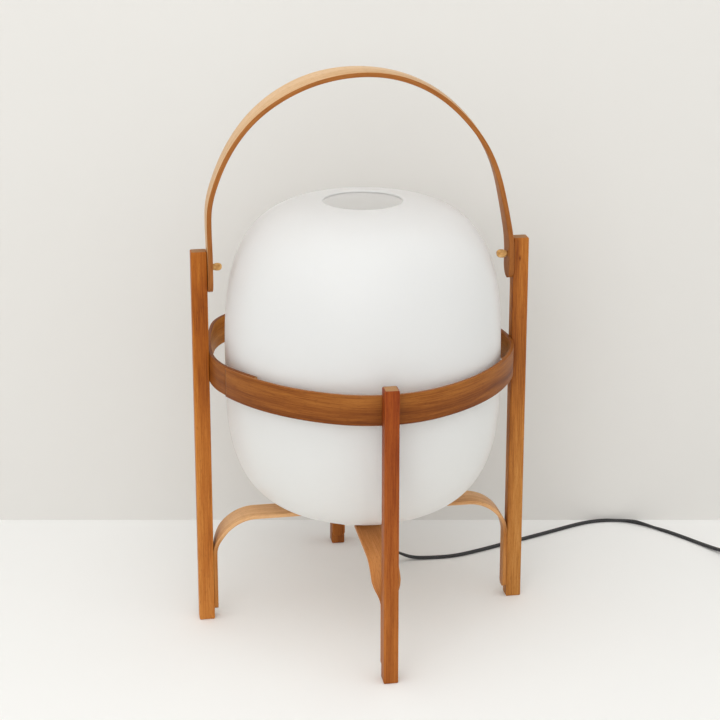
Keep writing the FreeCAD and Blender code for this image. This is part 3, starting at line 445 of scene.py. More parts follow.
endGrain = endGrainMaterial("cherry end grain")
dowelWood = plainMaterial("dowel cherry", (0.42, 0.15, 0.035), 0.5, spread=0.2)
opalOutside = opalMaterial("opal glass", opal["outside"])
# lighter copy of the opal for the inner skin: painted light
opalInsidePaintedLight = opalMaterial("opal glass inside painted light", opal["inside"])
leather = leatherMaterial()
steel = brushedMaterial("zinc plated steel", (0.60, 0.60, 0.61), 0.38)
nickel = brushedMaterial("nickelled brass", (0.72, 0.66, 0.52), 0.30)
whiteMetal = plainMaterial("white lacquered metal", (0.80, 0.80, 0.77), 0.42)
whitePlastic = plainMaterial("white plastic", (0.80, 0.79, 0.76), 0.30)
whiteRubber = plainMaterial("white rubber", (0.66, 0.66, 0.63), 0.7)
porcelain = plainMaterial("porcelain", (0.82, 0.80, 0.75), 0.16)
cordRubber = plainMaterial("black cord cover", (0.017, 0.017, 0.019), 0.42,
                           grain=1400.0, spread=0.25, bump=0.00006)
blackPlastic = plainMaterial("black plastic", (0.016, 0.016, 0.018), 0.40,
                             grain=2200.0, spread=0.2, bump=0.00005)
bulbGlass = bulbMaterial()
print("materials ready")


# mains cord, with the switch on it and the rest put away in a coil
cord = {
    "width": 5.5, "height": 3.3,        # across both cores, and over one
    "restHeight": 2.85,     # centre line above the table
    "reliefTop": 102.3, "reliefLength": 22.0, "reliefLean": 36.0, "reliefHeading": 56.0,
    "switchCentre": (455.5, 2.15), "switchTurn": -60.0, "switchHeight": 6.5,
    "switchHalf": 43.0,     # half of the switch with its boots
    "coilCentre": (462.0, -88.0), "coilRadius": 39.0, "coilStepIn": 9.6, "coilStepUp": 9.6,
    "halfTurnsIn": 5, "halfTurnsOut": 4, "plugHeight": 7.0,
    "straightOut": 11.0, "switchLead": 12.0, "coilLead": 14.0,
    # ahead of the coil's end, to its side, and share of the drop to the plug's height
    "tail": [(20.0, 0.0, 0), (42.0, 1.2, 1), (62.0, 4.0, 1)],
    "groove": 0.34, "grooveWidth": 0.20, "fullness": 0.75,      # shape of the twin section
    # metres from the relief, and degrees that the flat cord stands on its edge there
    "edgeOn": [(0.0, 90), (0.03, 80), (0.09, 0), (0.40, 0), (0.435, 72), (0.47, 0)],
    # the cord lies flat on the table below the first height, as far as this x, in metres
    "lowBelow": 0.012, "lowFade": 0.006, "lowUntil": 0.44,
    "length": 1.70,         # metres from the relief to the plug
    "pieces": ["switch_lower_shell", "switch_upper_shell", "switch_screws", "switch_boots",
               "switch_rocker", "rocker_pin", "plug_relief", "plug_body", "plug_pins",
               "cord_relief"],
}

floorLine = cord["restHeight"]
lampRoute = [       # from below the relief to the switch
    (17.0, 26.0, 66.0), (26.0, 41.0, 53.0), (36.0, 58.0, 38.5), (47.0, 77.0, 24.0),
    (57.0, 93.0, 13.5), (66.0, 99.0, 7.5), (79.0, 99.0, floorLine + 0.6), (97.0, 98.0, floorLine),
    (122.0, 97.5, floorLine), (149.0, 105.5, floorLine), (179.0, 117.0, floorLine),
    (212.0, 129.5, floorLine), (246.0, 142.5, floorLine), (276.0, 155.0, floorLine),
    (300.0, 163.0, floorLine), (324.0, 164.0, floorLine), (346.0, 156.5, floorLine),
    (363.0, 142.5, floorLine), (379.0, 125.0, floorLine), (394.0, 105.0, floorLine),
    (408.5, 83.0, floorLine), (421.0, 61.0, floorLine + 1.6),
]


def coilPoints(start, heading):
    # clockwise half circles that share their end tangents: inwards, one that climbs by half a
    # cosine, then outwards on top and a last quarter. The points are the corners of the polygon
    # that touches each half circle every 30 degrees.
    step = cord["coilStepIn"] / 2
    climbAt = cord["halfTurnsIn"]
    smallest = cord["coilRadius"] - step * (climbAt - 1)
    radii = [cord["coilRadius"] - step * k for k in range(climbAt)] + [smallest]
    radii += [smallest + step * k for k in range(cord["halfTurnsOut"] + 1)]
    rise = np.array([0, 0, cord["coilStepUp"]])
    points = []
    here = np.array(start, float)
    for k, radius in enumerate(radii):
        across = np.array([heading[1], -heading[0], 0.0])
        centre = here + across * radius
        last = k == len(radii) - 1
        angles = np.radians(np.arange(15, 90 if last else 180, 30))[:, None]
        reach = radius / math.cos(math.radians(15))
        ring = centre + reach * (np.sin(angles) * heading - np.cos(angles) * across)
        if k == climbAt:
            ring = ring + rise * (1 - np.cos(angles)) / 2
        points += ring.tolist()
        here = centre + heading * radius if last else here + across * (2 * radius)
        heading = across if last else -heading
        if k == climbAt:
            here = here + rise
    return points, here, heading


def cordRoute():
    # straight out of the relief, over the table to the switch, round the coil and to the plug
    lean, turn = math.radians(cord["reliefLean"]), math.radians(cord["reliefHeading"])
    slope = math.sin(lean)
    out = np.array([slope * math.cos(turn), slope * math.sin(turn), -math.cos(lean)])
    exitPoint = np.array([0, 0, cord["reliefTop"]]) + out * cord["reliefLength"]
    turn = math.radians(cord["switchTurn"])
    along = np.array([math.cos(turn), math.sin(turn), 0.0])
    side = np.array([-along[1], along[0], 0.0])
    middle = np.array([*cord["switchCentre"], cord["switchHeight"]])
    inlet = middle - along * cord["switchHalf"]
    outlet = middle + along * cord["switchHalf"]
    coilStart = np.array([*cord["coilCentre"], floorLine]) + side * cord["coilRadius"]
    loops, coilEnd, tail = coilPoints(coilStart, along)
    tailSide = np.array([-tail[1], tail[0], 0.0])
    drop = np.array([0, 0, cord["plugHeight"] - coilEnd[2]])
    route = [exitPoint, exitPoint + out * cord["straightOut"]]
    route += lampRoute
    lead = along * cord["coilLead"]
    route += [inlet - along * cord["switchLead"], inlet, outlet, outlet + lead]
    route += [coilStart - lead, coilStart, *loops, coilEnd]
    route += [coilEnd + tail * ahead + tailSide * aside + drop * share
              for ahead, aside, share in cord["tail"]]
    return np.array([list(p) for p in route]) * mm


def splineLine(points, steps=6):
    # points along the smooth curve that has the route as its control points
    data = bpy.data.curves.new("cordLine", "CURVE")
    data.dimensions = "3D"
    data.resolution_u = steps
    line = data.splines.new("NURBS")
    line.points.add(len(points) - 1)
    line.points.foreach_set("co", np.c_[points, np.ones(len(points))].ravel())
    line.order_u = 3
    line.use_endpoint_u = True
    holder = bpy.data.objects.new("cordLine", data)
    mesh = bpy.data.meshes.new_from_object(holder)
    places = readAll(mesh.vertices, "co", 3).reshape(-1, 3)
    bpy.data.objects.remove(holder)
    bpy.data.curves.remove(data)
    bpy.data.meshes.remove(mesh)
    return places


def twinSection(width, height, count=24):
    # two touching round cores side by side: an oval whose middle is drawn in by a groove
    angle = fullTurn(count)
    across = width / 2 * np.cos(angle)
    groove = 1 - cord["groove"] * np.exp(-(np.cos(angle) / cord["grooveWidth"]) ** 2)
    thick = height / 2 * np.sign(np.sin(angle)) * np.abs(np.sin(angle)) ** cord["fullness"] * groove
    return across, thick


def makeCord():
    # the twin section carried along the line of the route, turned on its edge in places
    route = cordRoute()
    line = splineLine(route)
    line = line[np.concatenate([[True], np.diff(runLengths(line)) > 1e-6])]     # no doubled points
    run = runLengths(line)
    ahead = unit(np.gradient(line, axis=0))
    side = unit(np.cross(ahead, np.array([0, 0, 1.0])))
    top = np.cross(side, ahead)
    places, degrees = zip(*cord["edgeOn"])
    edgeOn = np.interp(run, places, degrees) * math.pi / 180
    across, thick = twinSection(cord["width"] * mm, cord["height"] * mm)
    c, s = np.cos(edgeOn)[:, None, None], np.sin(edgeOn)[:, None, None]
    sideTurned = side[:, None, :] * c + top[:, None, :] * s
    topTurned = top[:, None, :] * c - side[:, None, :] * s
    lift = (cord["height"] / 2 - cord["restHeight"]) * mm * np.cos(edgeOn) ** 2
    onFloor = np.clip((cord["lowBelow"] - line[:, 2]) / cord["lowFade"], 0, 1)
    onFloor = onFloor * (line[:, 0] < cord["lowUntil"])
    centre = line + np.array([0, 0, 1.0]) * (lift * onFloor)[:, None]
    points = centre[:, None, :] + across[:, None] * sideTurned + thick[:, None] * topTurned
    count, around = len(line), len(across)
    uv = np.stack(np.broadcast_arrays(run[:, None], np.arange(around) / around), axis=-1)
    piece = addMesh("mainsCord", points, tubeFaces(count, around), uv, slots=[cordRubber])
    fixNormals(piece)
    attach(piece, "lamp")
    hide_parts("cord_run", "cord_core", "cord_lead", "cord_coil", "cord_tail")
    print("cord length", round(float(run[-1]), 3))


makeCord()
print("cord laid")


# four square posts
post = {
    "inner": 157.0, "depth": 16.0, "width": 14.5, "tall": 400.0, "short": 303.0, "ease": 1.2,
    "stations": 40, "easeStations": 5,
    "levels": (0.0, 0.36),      # heights of the low and high streaks, in metres
    # CAD node, degrees round the axis, height and seed of the wood's figure
    "pieces": {
        "rightPost": ("right_post", 0, "tall", 1.0),
        "backPost": ("back_post", 90, "short", 2.0),
        "leftPost": ("left_post", 180, "tall", 3.0),
        "frontPost": ("front_post", 270, "short", 4.0),
    },
    # place and half sizes in metres
    "pinKnots": {
        "rightPost": {"place": (0.1637, -0.00725, 0.3785), "size": (0.0015, 0.003, 0.0045)},
    },
}


def makePost(name, cadNode, turn, height, seed):
    # a square stick; the section draws in by a quarter circle at both ends
    ease, stations = post["ease"], post["stations"]
    quarter = np.linspace(0, math.pi / 2, post["easeStations"])
    edge = ease * (1 - np.cos(quarter))
    drawnIn = ease * (1 - np.sin(quarter))
    between = np.linspace(ease * 3, height - ease * 3, stations)
    levels = np.concatenate([edge, between, height - edge[::-1]])
    shrink = np.concatenate([drawnIn, np.zeros(stations), drawnIn[::-1]])
    angle = math.radians(turn)
    out = np.array([math.cos(angle), math.sin(angle), 0.0])
    side = np.array([-out[1], out[0], 0.0])
    middle = out * (post["inner"] + post["depth"] / 2)
    count = len(levels)
    centre = (np.array([0, 0, 1.0]) * levels[:, None] + middle) * mm
    cherry = woodMaterial(name + " cherry", wood[name], post["levels"], seed,
                          pinKnot=post["pinKnots"].get(name))
    halfWidth, halfDepth = post["width"] / 2 - shrink, post["depth"] / 2 - shrink
    piece = carryStrip(name, centre, np.tile(side, (count, 1)), np.tile(-out, (count, 1)),
                       halfWidth * mm, halfDepth * mm, ease * mm, [cherry, endGrain])
    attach(piece, "lamp")
    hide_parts(cadNode)


for name, (cadNode, turn, height, seed) in post["pieces"].items():
    makePost(name, cadNode, turn, post[height], seed)
print("posts ready")


# bent hoop, one strip glued to itself between the left and the front post
hoop = {
    "bottom": 263.0, "height": 30.0, "thickness": 4.2, "ease": 0.8,
    "reach": 157.0, "diagonal": 150.6, "postBend": 120.0,
    "fullDiagonal": 180.0, "fullPostBend": 420.0,       # the left rear corner
    "tipAngle": 199.5, "endAngle": 215.0,               # feathered outer end, blunt inner end
    "entryBend": 102.7, "entryTurn": 33.0, "rampBend": 374.0, "glue": 0.15,
    "feather": 0.5,         # least thickness at the feathered end
    "lapStations": 40, "stations": 320,
}


def rayToArc(angle, centreX, centreY, bend):
    # distance from the lamp's axis, along each direction, to the far side of a circle
    b = centreX * np.cos(angle) + centreY * np.sin(angle)
    return b + np.sqrt(b * b - centreX ** 2 - centreY ** 2 + bend ** 2)


def cornerOutside(angle, diagonal, postBend):
    # outer face of the strip in each direction: one arc at each post and another between two posts
    w = hoop["reach"] - postBend
    skew = math.sqrt(2) * w
    squares = postBend ** 2 - diagonal ** 2 + skew * diagonal - w * w
    bend = squares / (2 * postBend - 2 * diagonal + skew)
    shift = (diagonal - bend) / math.sqrt(2)
    away = 1 if bend < postBend else -1
    half = math.atan2(away * shift, away * (shift - w))
    fold = angle - np.round(angle / (math.pi / 2)) * (math.pi / 2)
    near = rayToArc(fold, w, 0.0, postBend)
    turned = np.abs(np.arctan2(near * np.sin(fold), near * np.cos(fold) - w))
    far = rayToArc(np.abs(fold), shift, shift, bend)
    return np.where(turned <= half, near, far)


def hoopOutside(angle):
    # three even corners and a fuller one at the left rear
    turn = np.mod(angle, 2 * math.pi)
    even = cornerOutside(angle, hoop["diagonal"], hoop["postBend"])
    full = cornerOutside(angle, hoop["fullDiagonal"], hoop["fullPostBend"])
    return np.where((turn > math.pi / 2) & (turn <= math.pi), full, even)


def lapOutside(angle):
    # outer face of the inner layer, from the left post to its blunt end: two arcs in a row
    entryX = -(hoop["reach"] - hoop["entryBend"])
    turn = math.radians(180 + hoop["entryTurn"])
    shift = hoop["rampBend"] - hoop["entryBend"]
    rampX, rampY = entryX - shift * math.cos(turn), -shift * math.sin(turn)
    near = rayToArc(angle, entryX, 0.0, hoop["entryBend"])
    turned = np.mod(np.arctan2(near * np.sin(angle), near * np.cos(angle) - entryX), 2 * math.pi)
    return np.where(turned <= turn, near, rayToArc(angle, rampX, rampY, hoop["rampBend"]))


def makeHoop():
    # one strip, from its blunt inner end round to its feathered outer end. Where the outer end
    # passes over the inner layer, the room between the two faces is its thickness.
    full = hoop["thickness"]
    blunt, tip = math.radians(hoop["endAngle"]), math.radians(hoop["tipAngle"] - 360)
    angle = np.concatenate([np.linspace(blunt, math.pi, hoop["lapStations"], endpoint=False),
                            np.linspace(math.pi, tip, hoop["stations"])])
    folded = np.where(angle < math.radians(-110), angle + 2 * math.pi, 0.0)
    outside = np.where(angle > math.pi, lapOutside(np.maximum(angle, math.pi)), hoopOutside(angle))
    under = lapOutside(np.maximum(folded, math.pi)) + hoop["glue"]
    room = np.where((folded > math.pi) & (folded <= blunt), outside - under, full)
    thickness = np.clip(np.minimum(full, room), hoop["feather"], None)
    flat = np.stack([np.cos(angle), np.sin(angle), np.zeros_like(angle)], axis=1)
    middle = np.array([0, 0, hoop["bottom"] + hoop["height"] / 2])
    centre = (flat * (outside - thickness / 2)[:, None] + middle) * mm
    upward = np.tile([0.0, 0.0, 1.0], (len(angle), 1))
    cherry = woodMaterial("hoop cherry", wood["hoop"], (0.0, 1.0), 5.0)
    # the inner face gets a lighter copy of the cherry: painted light
    cherryInsidePaintedLight = woodMaterial("hoop cherry inside painted light", wood["hoopInsidePaintedLight"], (0.0, 1.0), 5.5)
    piece = carryStrip("bentHoop", centre, upward, flat, hoop["height"] / 2 * mm,
                       thickness / 2 * mm, hoop["ease"] * mm,
                       [cherry, endGrain, cherryInsidePaintedLight], inside=2)
    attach(piece, "lamp")
    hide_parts("hoop")


makeHoop()
print("hoop ready")


# two bent braces that cross under the globe
brace = {
    "reach": 157.0, "width": 29.0, "thickness": 4.0, "bend": 45.0, "legEnd": 11.0, "ease": 0.8,
    "taperTop": 97.0, "taperBottom": 77.0, "taperBow": 0.06, "legWidth": 14.5,
    "tongue": 4.5,          # height of the round at a leg's end
    # the lighter high streaks on the braces' tops are painted sheen
    "levels": (0.070, 0.108),       # heights of the low and high streaks, in metres
    "roundStations": 10, "legStations": 40, "bendStations": 25, "flatStations": 20,
    "startGap": 0.02,       # the first station's height above the leg's end
    # CAD node, height of the top, degrees round the axis and seed of the wood's figure
    "pieces": {
        "leftRightBrace": ("left_right_brace", 117.0, 0, 6.0),
        "frontBackBrace": ("front_back_brace", 113.0, 90, 7.0),
    },
}


def makeBrace(name, cadNode, top, turn, seed):
    # strip along a leg, a quarter circle, the flat top and down again; the middle line runs half
    # a thickness inside the outer face, and the width follows the height on the legs
    half, bend, reach = brace["thickness"] / 2, brace["bend"], brace["reach"]
    legEnd, tongue = brace["legEnd"], brace["tongue"]
    sweep = np.linspace(0, math.pi / 2, brace["bendStations"])
    start = 1 - np.cos(np.linspace(0, math.pi / 2, brace["roundStations"]))
    leg = np.concatenate([legEnd + brace["startGap"] + tongue * start,
                          np.linspace(legEnd + tongue + 1, top - bend, brace["legStations"])[:-1]])
    flatX = np.linspace(-reach + bend, 0, brace["flatStations"])[1:]
    arcX = -reach + bend - (bend - half) * np.cos(sweep)
    arcZ = top - bend + (bend - half) * np.sin(sweep)
    x = np.concatenate([np.full(len(leg), half - reach), arcX, flatX])
    z = np.concatenate([leg, arcZ, np.full(len(flatX), top - half)])
    x = np.concatenate([x, -x[:-1][::-1]])
    z = np.concatenate([z, z[:-1][::-1]])
    share = np.clip((z - brace["taperBottom"]) / (brace["taperTop"] - brace["taperBottom"]), 0, 1)
    share = share - brace["taperBow"] * np.sin(2 * math.pi * share)
    width = brace["legWidth"] + (brace["width"] - brace["legWidth"]) * share
    upRound = np.clip((z - legEnd) / tongue, 0, 1)
    width = width - 2 * tongue * (1 - np.sqrt(np.clip(1 - (1 - upRound) ** 2, 0, 1)))
    path = np.stack([x, np.zeros_like(x), z], axis=1)
    ahead = unit(np.gradient(path, axis=0))
    outward = np.stack([-ahead[:, 2], np.zeros(len(x)), ahead[:, 0]], axis=1)
    c, s = math.cos(math.radians(turn)), math.sin(math.radians(turn))
    turned = np.array([[c, s, 0], [-s, c, 0], [0, 0, 1]])
    side = np.tile([0.0, 1.0, 0.0], (len(x), 1))
    # lighter streaks above the legs: painted sheen on the flat top
    cherry = woodMaterial(name + " cherry", wood[name], brace["levels"], seed)
    piece = carryStrip(name, path @ turned * mm, side @ turned, outward @ turned, width / 2 * mm,
                       half * mm, brace["ease"] * mm, [cherry, endGrain])
    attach(piece, "lamp")
    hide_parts(cadNode)


for name, (cadNode, top, turn, seed) in brace["pieces"].items():
    makeBrace(name, cadNode, top, turn, seed)
print("braces ready")


# bent carrying handle
handle = {
    "top": 578.0, "width": 25.0, "thickness": 5.0, "ease": 0.8,
    "legLine": 154.0, "pivot": 382.5, "below": 25.5,    # the feet reach this far below the pivot
    # the lighter high streaks on the crown are painted sheen
    "levels": (0.37, 0.41),         # heights of the low and high streaks, in metres
    "footStations": 14, "stations": 200,
    # middle line from the right leg over the crown: share of the half span, share of the rise
    # above the pivot, and the strip's twist in degrees, outer face forward
    "shape": [
        (1.0, -0.07, 0.0), (1.0, 0.013, 0.0), (0.9935, 0.0907, 0.0), (0.9727, 0.1943, 0.8),
        (0.9403, 0.3238, 2.2), (0.8922, 0.4689, 3.7), (0.8071, 0.615, 4.3), (0.6714, 0.757, 3.9),
        (0.4994, 0.8767, 3.0), (0.3039, 0.9565, 2.8), (0.0942, 0.9953, 4.2),
        (-0.1234, 0.9959, 8.0), (-0.3351, 0.9601, 10.6), (-0.5273, 0.8896, 9.4),
        (-0.6909, 0.7917, 5.8), (-0.8175, 0.6731, 2.4), (-0.9071, 0.5472, 0.5),
        (-0.9656, 0.429, 0.0), (-0.9968, 0.3316, 0.0), (-1.0039, 0.2456, 0.0),
        (-1.0026, 0.1523, 0.0), (-1.0, 0.0648, 0.0), (-1.0, 0.02, 0.0), (-1.0, -0.03, 0.0),
        (-1.0, -0.08, 0.0),
    ],
}


def curveThrough(points, at):
    # natural cubic spline through the points, at these distances along their straight runs
    gap = np.linalg.norm(np.diff(points[:, :2], axis=0), axis=1)
    run = np.concatenate([[0], np.cumsum(gap)])
    inner = np.arange(1, len(points) - 1)
    system = np.eye(len(points))
    system[inner, inner - 1] = gap[:-1]
    system[inner, inner] = 2 * (gap[:-1] + gap[1:])
    system[inner, inner + 1] = gap[1:]
    right = np.zeros_like(points)
    right[1:-1] = 6 * np.diff(np.diff(points, axis=0) / gap[:, None], axis=0)
    bend = np.linalg.solve(system, right)
    k = np.clip(np.searchsorted(run, at, side="right") - 1, 0, len(gap) - 1)
    wide = gap[k][:, None]
    a = (run[k + 1] - at)[:, None] / wide
    b = 1 - a
    curved = ((a ** 3 - a) * bend[k] + (b ** 3 - b) * bend[k + 1]) * wide ** 2 / 6
    return a * points[k] + b * points[k + 1] + curved


def makeHandle():
    # strip along a smooth curve; its wide and deep directions turn with the twist, and its width
    # follows a half circle at the feet
    half = handle["thickness"] / 2
    lowest = handle["pivot"] - handle["below"]
    rise = handle["top"] - half - handle["pivot"]
    shape = np.array(handle["shape"]) * [handle["legLine"], rise, 1.0] + [0, handle["pivot"], 0]
    ends = np.array([[handle["legLine"], lowest, 0.0], [-handle["legLine"], lowest, 0.0]])
    points = np.concatenate([ends[:1], shape, ends[1:]])
    full = np.linalg.norm(np.diff(points[:, :2], axis=0), axis=1).sum()
    turn = handle["width"] / 2
    foot = 0.05 + turn * (1 - np.cos(np.linspace(0, math.pi / 2, handle["footStations"])))
    between = np.linspace(turn + 2, full - turn - 2, handle["stations"])
    at = np.concatenate([foot, between, full - foot[::-1]])
    line = curveThrough(points, at)
    path = np.stack([line[:, 0], np.zeros(len(line)), line[:, 1]], axis=1)
    ahead = unit(np.gradient(path, axis=0))
    outward = np.stack([ahead[:, 2], np.zeros(len(path)), -ahead[:, 0]], axis=1)
    across = np.tile([0.0, 1.0, 0.0], (len(path), 1))
    c, t = np.cos(np.radians(line[:, 2:])), np.sin(np.radians(line[:, 2:]))
    wide = across * c + outward * t
    deep = outward * c - across * t
    fromEnd = np.clip(np.minimum(at, full - at) / turn, 0, 1)
    width = handle["width"] * np.sqrt(np.clip(1 - (1 - fromEnd) ** 2, 0.0004, 1))
    # lighter streaks on the crown: painted sheen
    cherry = woodMaterial("handle cherry", wood["handle"], handle["levels"], 8.0)
    # the edges and the inner face get a darker copy of the cherry: painted shade
    cherryEdgePaintedShade = woodMaterial("handle edge cherry painted shade", wood["handleEdgePaintedShade"], (0.0, 1.0), 8.0, 0.6)
    piece = carryStrip("bentHandle", path * mm, wide, deep, width / 2 * mm, half * mm,
                       handle["ease"] * mm, [cherry, endGrain, cherryEdgePaintedShade], edges=2, inside=2)
    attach(piece, "handle")
    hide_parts("handle")


makeHandle()
print("handle ready")


# leather laces that the handle turns on
lace = {
    "leg": 151.5, "gap": 0.35, "stem": 1.95, "stemTip": 1.3,
    "overlap": 0.6,         # of the loop and the ring
    "tipPast": 1.8,         # how far the stem passes the loop's middle
    "wrap": (2.1, 1.15),    # ring drawn round the lace, and the lace's own radius there
    "left": {"loop": (3.1, 2.4, 1.50), "lean": 12.0},
    "right": {"loop": (3.5, 2.9, 1.85), "lean": 46.0},
    "squareness": 2.6,      # 2 is an ellipse
    "around": 14, "steps": 72,
}


def loopTube(middle, u, v, halfU, halfV, radius):
    # closed tube: a squarish loop in the plane of u and v, with a round section
    power = lace["squareness"]
    t = fullTurn(lace["steps"])
    cosine, sine = np.cos(t), np.sin(t)
    square = 1 / (np.abs(cosine) ** power + np.abs(sine) ** power) ** (1 / power)
    path = middle + (halfU * cosine * square)[:, None] * u + (halfV * sine * square)[:, None] * v
    ahead = unit(np.roll(path, -1, axis=0) - np.roll(path, 1, axis=0))
    over = np.broadcast_to(np.cross(u, v), path.shape)
    across = np.cross(ahead, over)
    a = fullTurn(lace["around"])[:, None]
    ring = across[:, None, :] * np.cos(a) + over[:, None, :] * np.sin(a)
    faces = gridFaces(lace["steps"], lace["around"], closeRows=True, closeColumns=True)
    return path[:, None, :] + radius * ring, faces


def makeLace(name, cadNode, side):
    # the lace runs from the post through the leg; outside it a turn is drawn round it and the end
    # is folded into a loop
    shape = lace["left" if side < 0 else "right"]
    halfU, halfV, radius = shape["loop"]
    ringRadius, laceRadius = lace["wrap"]
    lean = math.radians(shape["lean"])
    inward = np.array([-1.0, 0.0, 0.0])
    across, upward = np.array([0, 1.0, 0]), np.array([0, 0, 1.0])
    upright = np.array([0.0, math.sin(lean), math.cos(lean)])
    wrapAt = lace["leg"] - lace["gap"] - laceRadius
    loopAt = wrapAt - halfU - lace["overlap"]
    height = handle["pivot"]
    wrap, wrapFaces = loopTube(np.array([wrapAt, 0, height]), across, upward,
                               ringRadius, ringRadius, laceRadius)
    loop, loopFaces = loopTube(np.array([loopAt, 0, height]), inward, upright, halfU, halfV, radius)
    around = lace["around"]
    a = fullTurn(around)
    stemX = np.array([loopAt - lace["tipPast"], wrapAt - lace["overlap"], lace["leg"] + 3,
                      post["inner"] + 9])
    stemRadius = np.array([lace["stemTip"], lace["stem"], lace["stem"], lace["stem"]])[:, None]
    stem = np.stack([np.broadcast_to(stemX[:, None], (len(stemX), around)), stemRadius * np.cos(a),
                     height + stemRadius * np.sin(a)], axis=-1)
    points = np.concatenate([part.reshape(-1, 3) for part in (wrap, loop, stem)])
    points = points * [side, 1, 1] * mm
    loopStart = wrap.shape[0] * around
    stemStart = loopStart + loop.shape[0] * around
    faces = np.concatenate([wrapFaces, loopFaces + loopStart]).tolist()
    faces += [[k + stemStart for k in face] for face in tubeFaces(len(stemX), around)]
    piece = addMesh(name, points, faces, slots=[leather])
    fixNormals(piece)
    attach(piece, "lamp")
    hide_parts(cadNode)


makeLace("rightLace", "right_pivot_lace", 1)
makeLace("leftLace", "left_pivot_lace", -1)
print("laces ready")


# opal glass globe, open at the top
globe = {
    "radius": 141.3, "widest": 281.0, "foot": 123.0, "upper": 165.0, "wall": 3.0,
    "shift": 1.5,           # towards the right post, in the play of the foot's hole
    "upperPower": (2.9, 3.64), "lowerPower": (3.26, 3.76),      # of the height and of the radius
    "flat": 48.0, "hole": 21.5, "vent": 40.0,
    "around": 192, "lowSteps": 70, "highSteps": 90, "lipSteps": 13, "footSteps": 6,
}


def makeGlobe():
    # turned shell: radius and height follow cosine and sine raised to set powers, one pair above
    # the widest line and one below; a half circle joins the outer and inner skins at the vent
    wall, widest = globe["wall"], globe["widest"]
    h, m = globe["lowerPower"]
    depth = (widest - globe["foot"]) / (1 - (globe["flat"] / globe["radius"]) ** m) ** (1 / h)

    def skin(inset):
        radius, lower, upper = globe["radius"] - inset, depth - inset, globe["upper"] - inset
        h, m = globe["lowerPower"]
        start = math.asin(((widest - globe["foot"] - inset) / lower) ** (h / 2))
        a = np.linspace(start, 0, globe["lowSteps"], endpoint=False)
        low = [radius * np.cos(a) ** (2 / m), widest - lower * np.sin(a) ** (2 / h)]
        h, m = globe["upperPower"]
        end = math.acos(((globe["vent"] + wall / 2) / radius) ** (m / 2))
        a = np.linspace(0, end, globe["highSteps"])
        high = [radius * np.cos(a) ** (2 / m), widest + upper * np.sin(a) ** (2 / h)]
        return np.concatenate([low, high], axis=1).T

    outer, inner = skin(0.0), skin(wall)
    middle = (outer[-1] + inner[-1]) / 2
    a = np.linspace(math.pi / 2, 3 * math.pi / 2, globe["lipSteps"])[1:-1]
    lip = middle + np.stack([wall / 2 * np.cos(a), (outer[-1, 1] - middle[1]) * np.sin(a)], axis=1)
    foot = np.linspace(globe["hole"], outer[0, 0], globe["footSteps"])[:-1]
    under = np.stack([foot, np.full(len(foot), globe["foot"])], axis=1)
    over = under[::-1] + [0, wall]
    profile = np.concatenate([under, outer, lip, inner[::-1], over])
    around = globe["around"]
    turn = fullTurn(around)[:, None]
    points = np.stack([profile[:, 0] * np.cos(turn), profile[:, 0] * np.sin(turn),
                       np.broadcast_to(profile[:, 1], (around, len(profile)))], axis=-1)
    points = (points + [globe["shift"], 0, 0]) * mm
    faces = gridFaces(around, len(profile), closeRows=True, closeColumns=True).tolist()
    isInside = np.arange(len(profile)) >= len(under) + len(outer) + len(lip)
    piece = addMesh("opalGlobe", points, faces, slots=[opalOutside, opalInsidePaintedLight],
                    faceSlots=np.tile(isInside, around))
    fixNormals(piece)
    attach(piece, "lamp")
    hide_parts("globe")


makeGlobe()
print("globe ready")


# finishes of the CAD pieces that keep their shape
finishes = [
    (dowelWood, ["hoop_dowels", "brace_dowels"]),
    (steel, ["threaded_nipple", "nipple_washer", "nipple_nut", "terminal_screws", "switch_screws",
             "rocker_pin"]),
    (whiteMetal, ["support_plate", "shade_ring"]),
    (whiteRubber, ["plate_gasket"]),
    (whitePlastic, ["holder_base", "holder_skirt"]),
    (porcelain, ["holder_insert"]),
    (nickel, ["thread_shell", "centre_contact", "bulb_cap", "bulb_contact", "plug_pins"]),
    (bulbGlass, ["bulb_glass"]),
    (cordRubber, ["supply_wires"]),
    (blackPlastic, ["switch_boots", "cord_relief", "plug_relief", "switch_lower_shell",
                    "switch_upper_shell", "switch_rocker", "plug_body"]),
]

for material, names in finishes:
    for name in names:
        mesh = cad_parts[name].data
        mesh.materials.clear()
        mesh.materials.append(material)
print("CAD pieces finished")


# floor, wall and light
stage = {
    "floor": (0.893, 0.895, 0.888),
    "wall": (0.728, 0.717, 0.695),
    # in metres: the wall's distance behind the lamp's axis, half the width, the wall's height
    "behind": 0.2194, "half": 4.0, "high": 3.0,
}

light = {
    "sky": (1.0, 0.995, 0.975), "skyStrength": 0.92,
    "backdrop": (0.86, 0.85, 0.83),         # what the camera sees past the floor and wall
    "warmth": (1.0, 0.995, 0.98), "aim": (0.0, 0.0, 0.25),
    "lamps": {      # place, size and power
        "overhead": ((-0.3, -0.6, 1.9), (1.8, 1.4), 5.0),
        "window": ((-0.9, -2.4, 1.5), (2.4, 1.6), 18.0),
    },
}


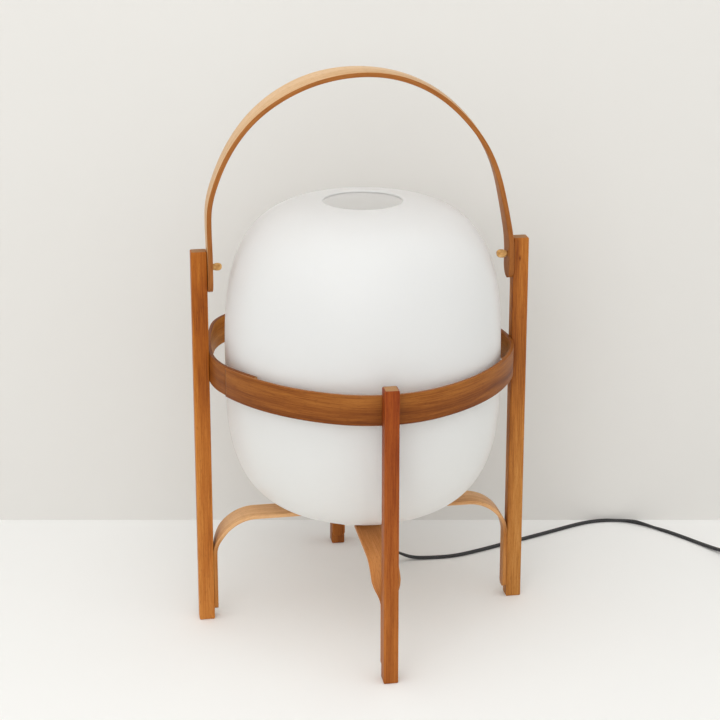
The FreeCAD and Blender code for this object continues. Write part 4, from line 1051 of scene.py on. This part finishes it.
def stageMaterial(name, colour, oneSided=False):
    # matt paint; a one-sided one is clear from behind
    n = Nodes(name)
    cloud = n.noise(n.place(), 3.0, 2.0).outputs[0]
    base = n.ramp(cloud, [(0.3, tuple(c * 0.99 for c in colour)), (0.7, colour)])
    paint = {"Base Color": base, "Roughness": 0.9, "Specular IOR Level": 0.1}
    if not oneSided:
        return n.finish(paint)
    back = n.add("NewGeometry").outputs["Backfacing"]
    surface, clear = n.add("BsdfPrincipled", paint).outputs[0], n.add("BsdfTransparent").outputs[0]
    return n.finish(n.add("MixShader", {0: back, 1: surface, 2: clear}))


def makeStage():
    # the floor passes under the wall, which stands across the camera's line of sight
    half = stage["half"]
    turn = math.radians(view["turn"])
    ahead = np.array([-math.sin(turn), math.cos(turn), 0.0])
    aside = np.array([math.cos(turn), math.sin(turn), 0.0]) * half
    foot = ahead * stage["behind"]
    front, past, high = foot - ahead * half * 2, foot + ahead * half, foot + [0, 0, stage["high"]]
    quad = [[0, 1, 2, 3]]
    floor = addMesh("floor", [past - aside, front - aside, front + aside, past + aside], quad,
                    slots=[stageMaterial("pale floor", stage["floor"])], smooth=False)
    wall = addMesh("wall", [foot - aside, foot + aside, high + aside, high - aside], quad,
                   slots=[stageMaterial("pale wall", stage["wall"], True)], smooth=False)


def addArea(name, place, size, power):
    # soft rectangular lamp turned towards the aim
    from mathutils import Vector
    data = bpy.data.lights.new(name, "AREA")
    data.shape = "RECTANGLE"
    data.size, data.size_y = size
    data.energy = power
    data.color = light["warmth"]
    lamp = addObject(name, data)
    lamp.location = place
    lamp.rotation_euler = (Vector(light["aim"]) - Vector(place)).to_track_quat("-Z", "Y").to_euler()


def makeLight():
    # an even sky, with a plain backdrop for the camera and for what is seen through glass
    n = Nodes("studio", "World")
    soft = n.add("Background", {0: (*light["sky"], 1), 1: light["skyStrength"]}).outputs[0]
    shown = n.add("Background", {0: (*light["backdrop"], 1), 1: 1.0}).outputs[0]
    rays = n.add("LightPath").outputs
    either = n.math("MAXIMUM", rays["Is Camera Ray"], rays["Is Transmission Ray"])
    bpy.context.scene.world = n.finish(n.add("MixShader", {0: either, 1: soft, 2: shown}))
    for name, (place, size, power) in light["lamps"].items():
        addArea(name, place, size, power)


makeStage()
makeLight()
scene = bpy.context.scene
scene.view_settings.view_transform = "Standard"
print("stage and light ready")
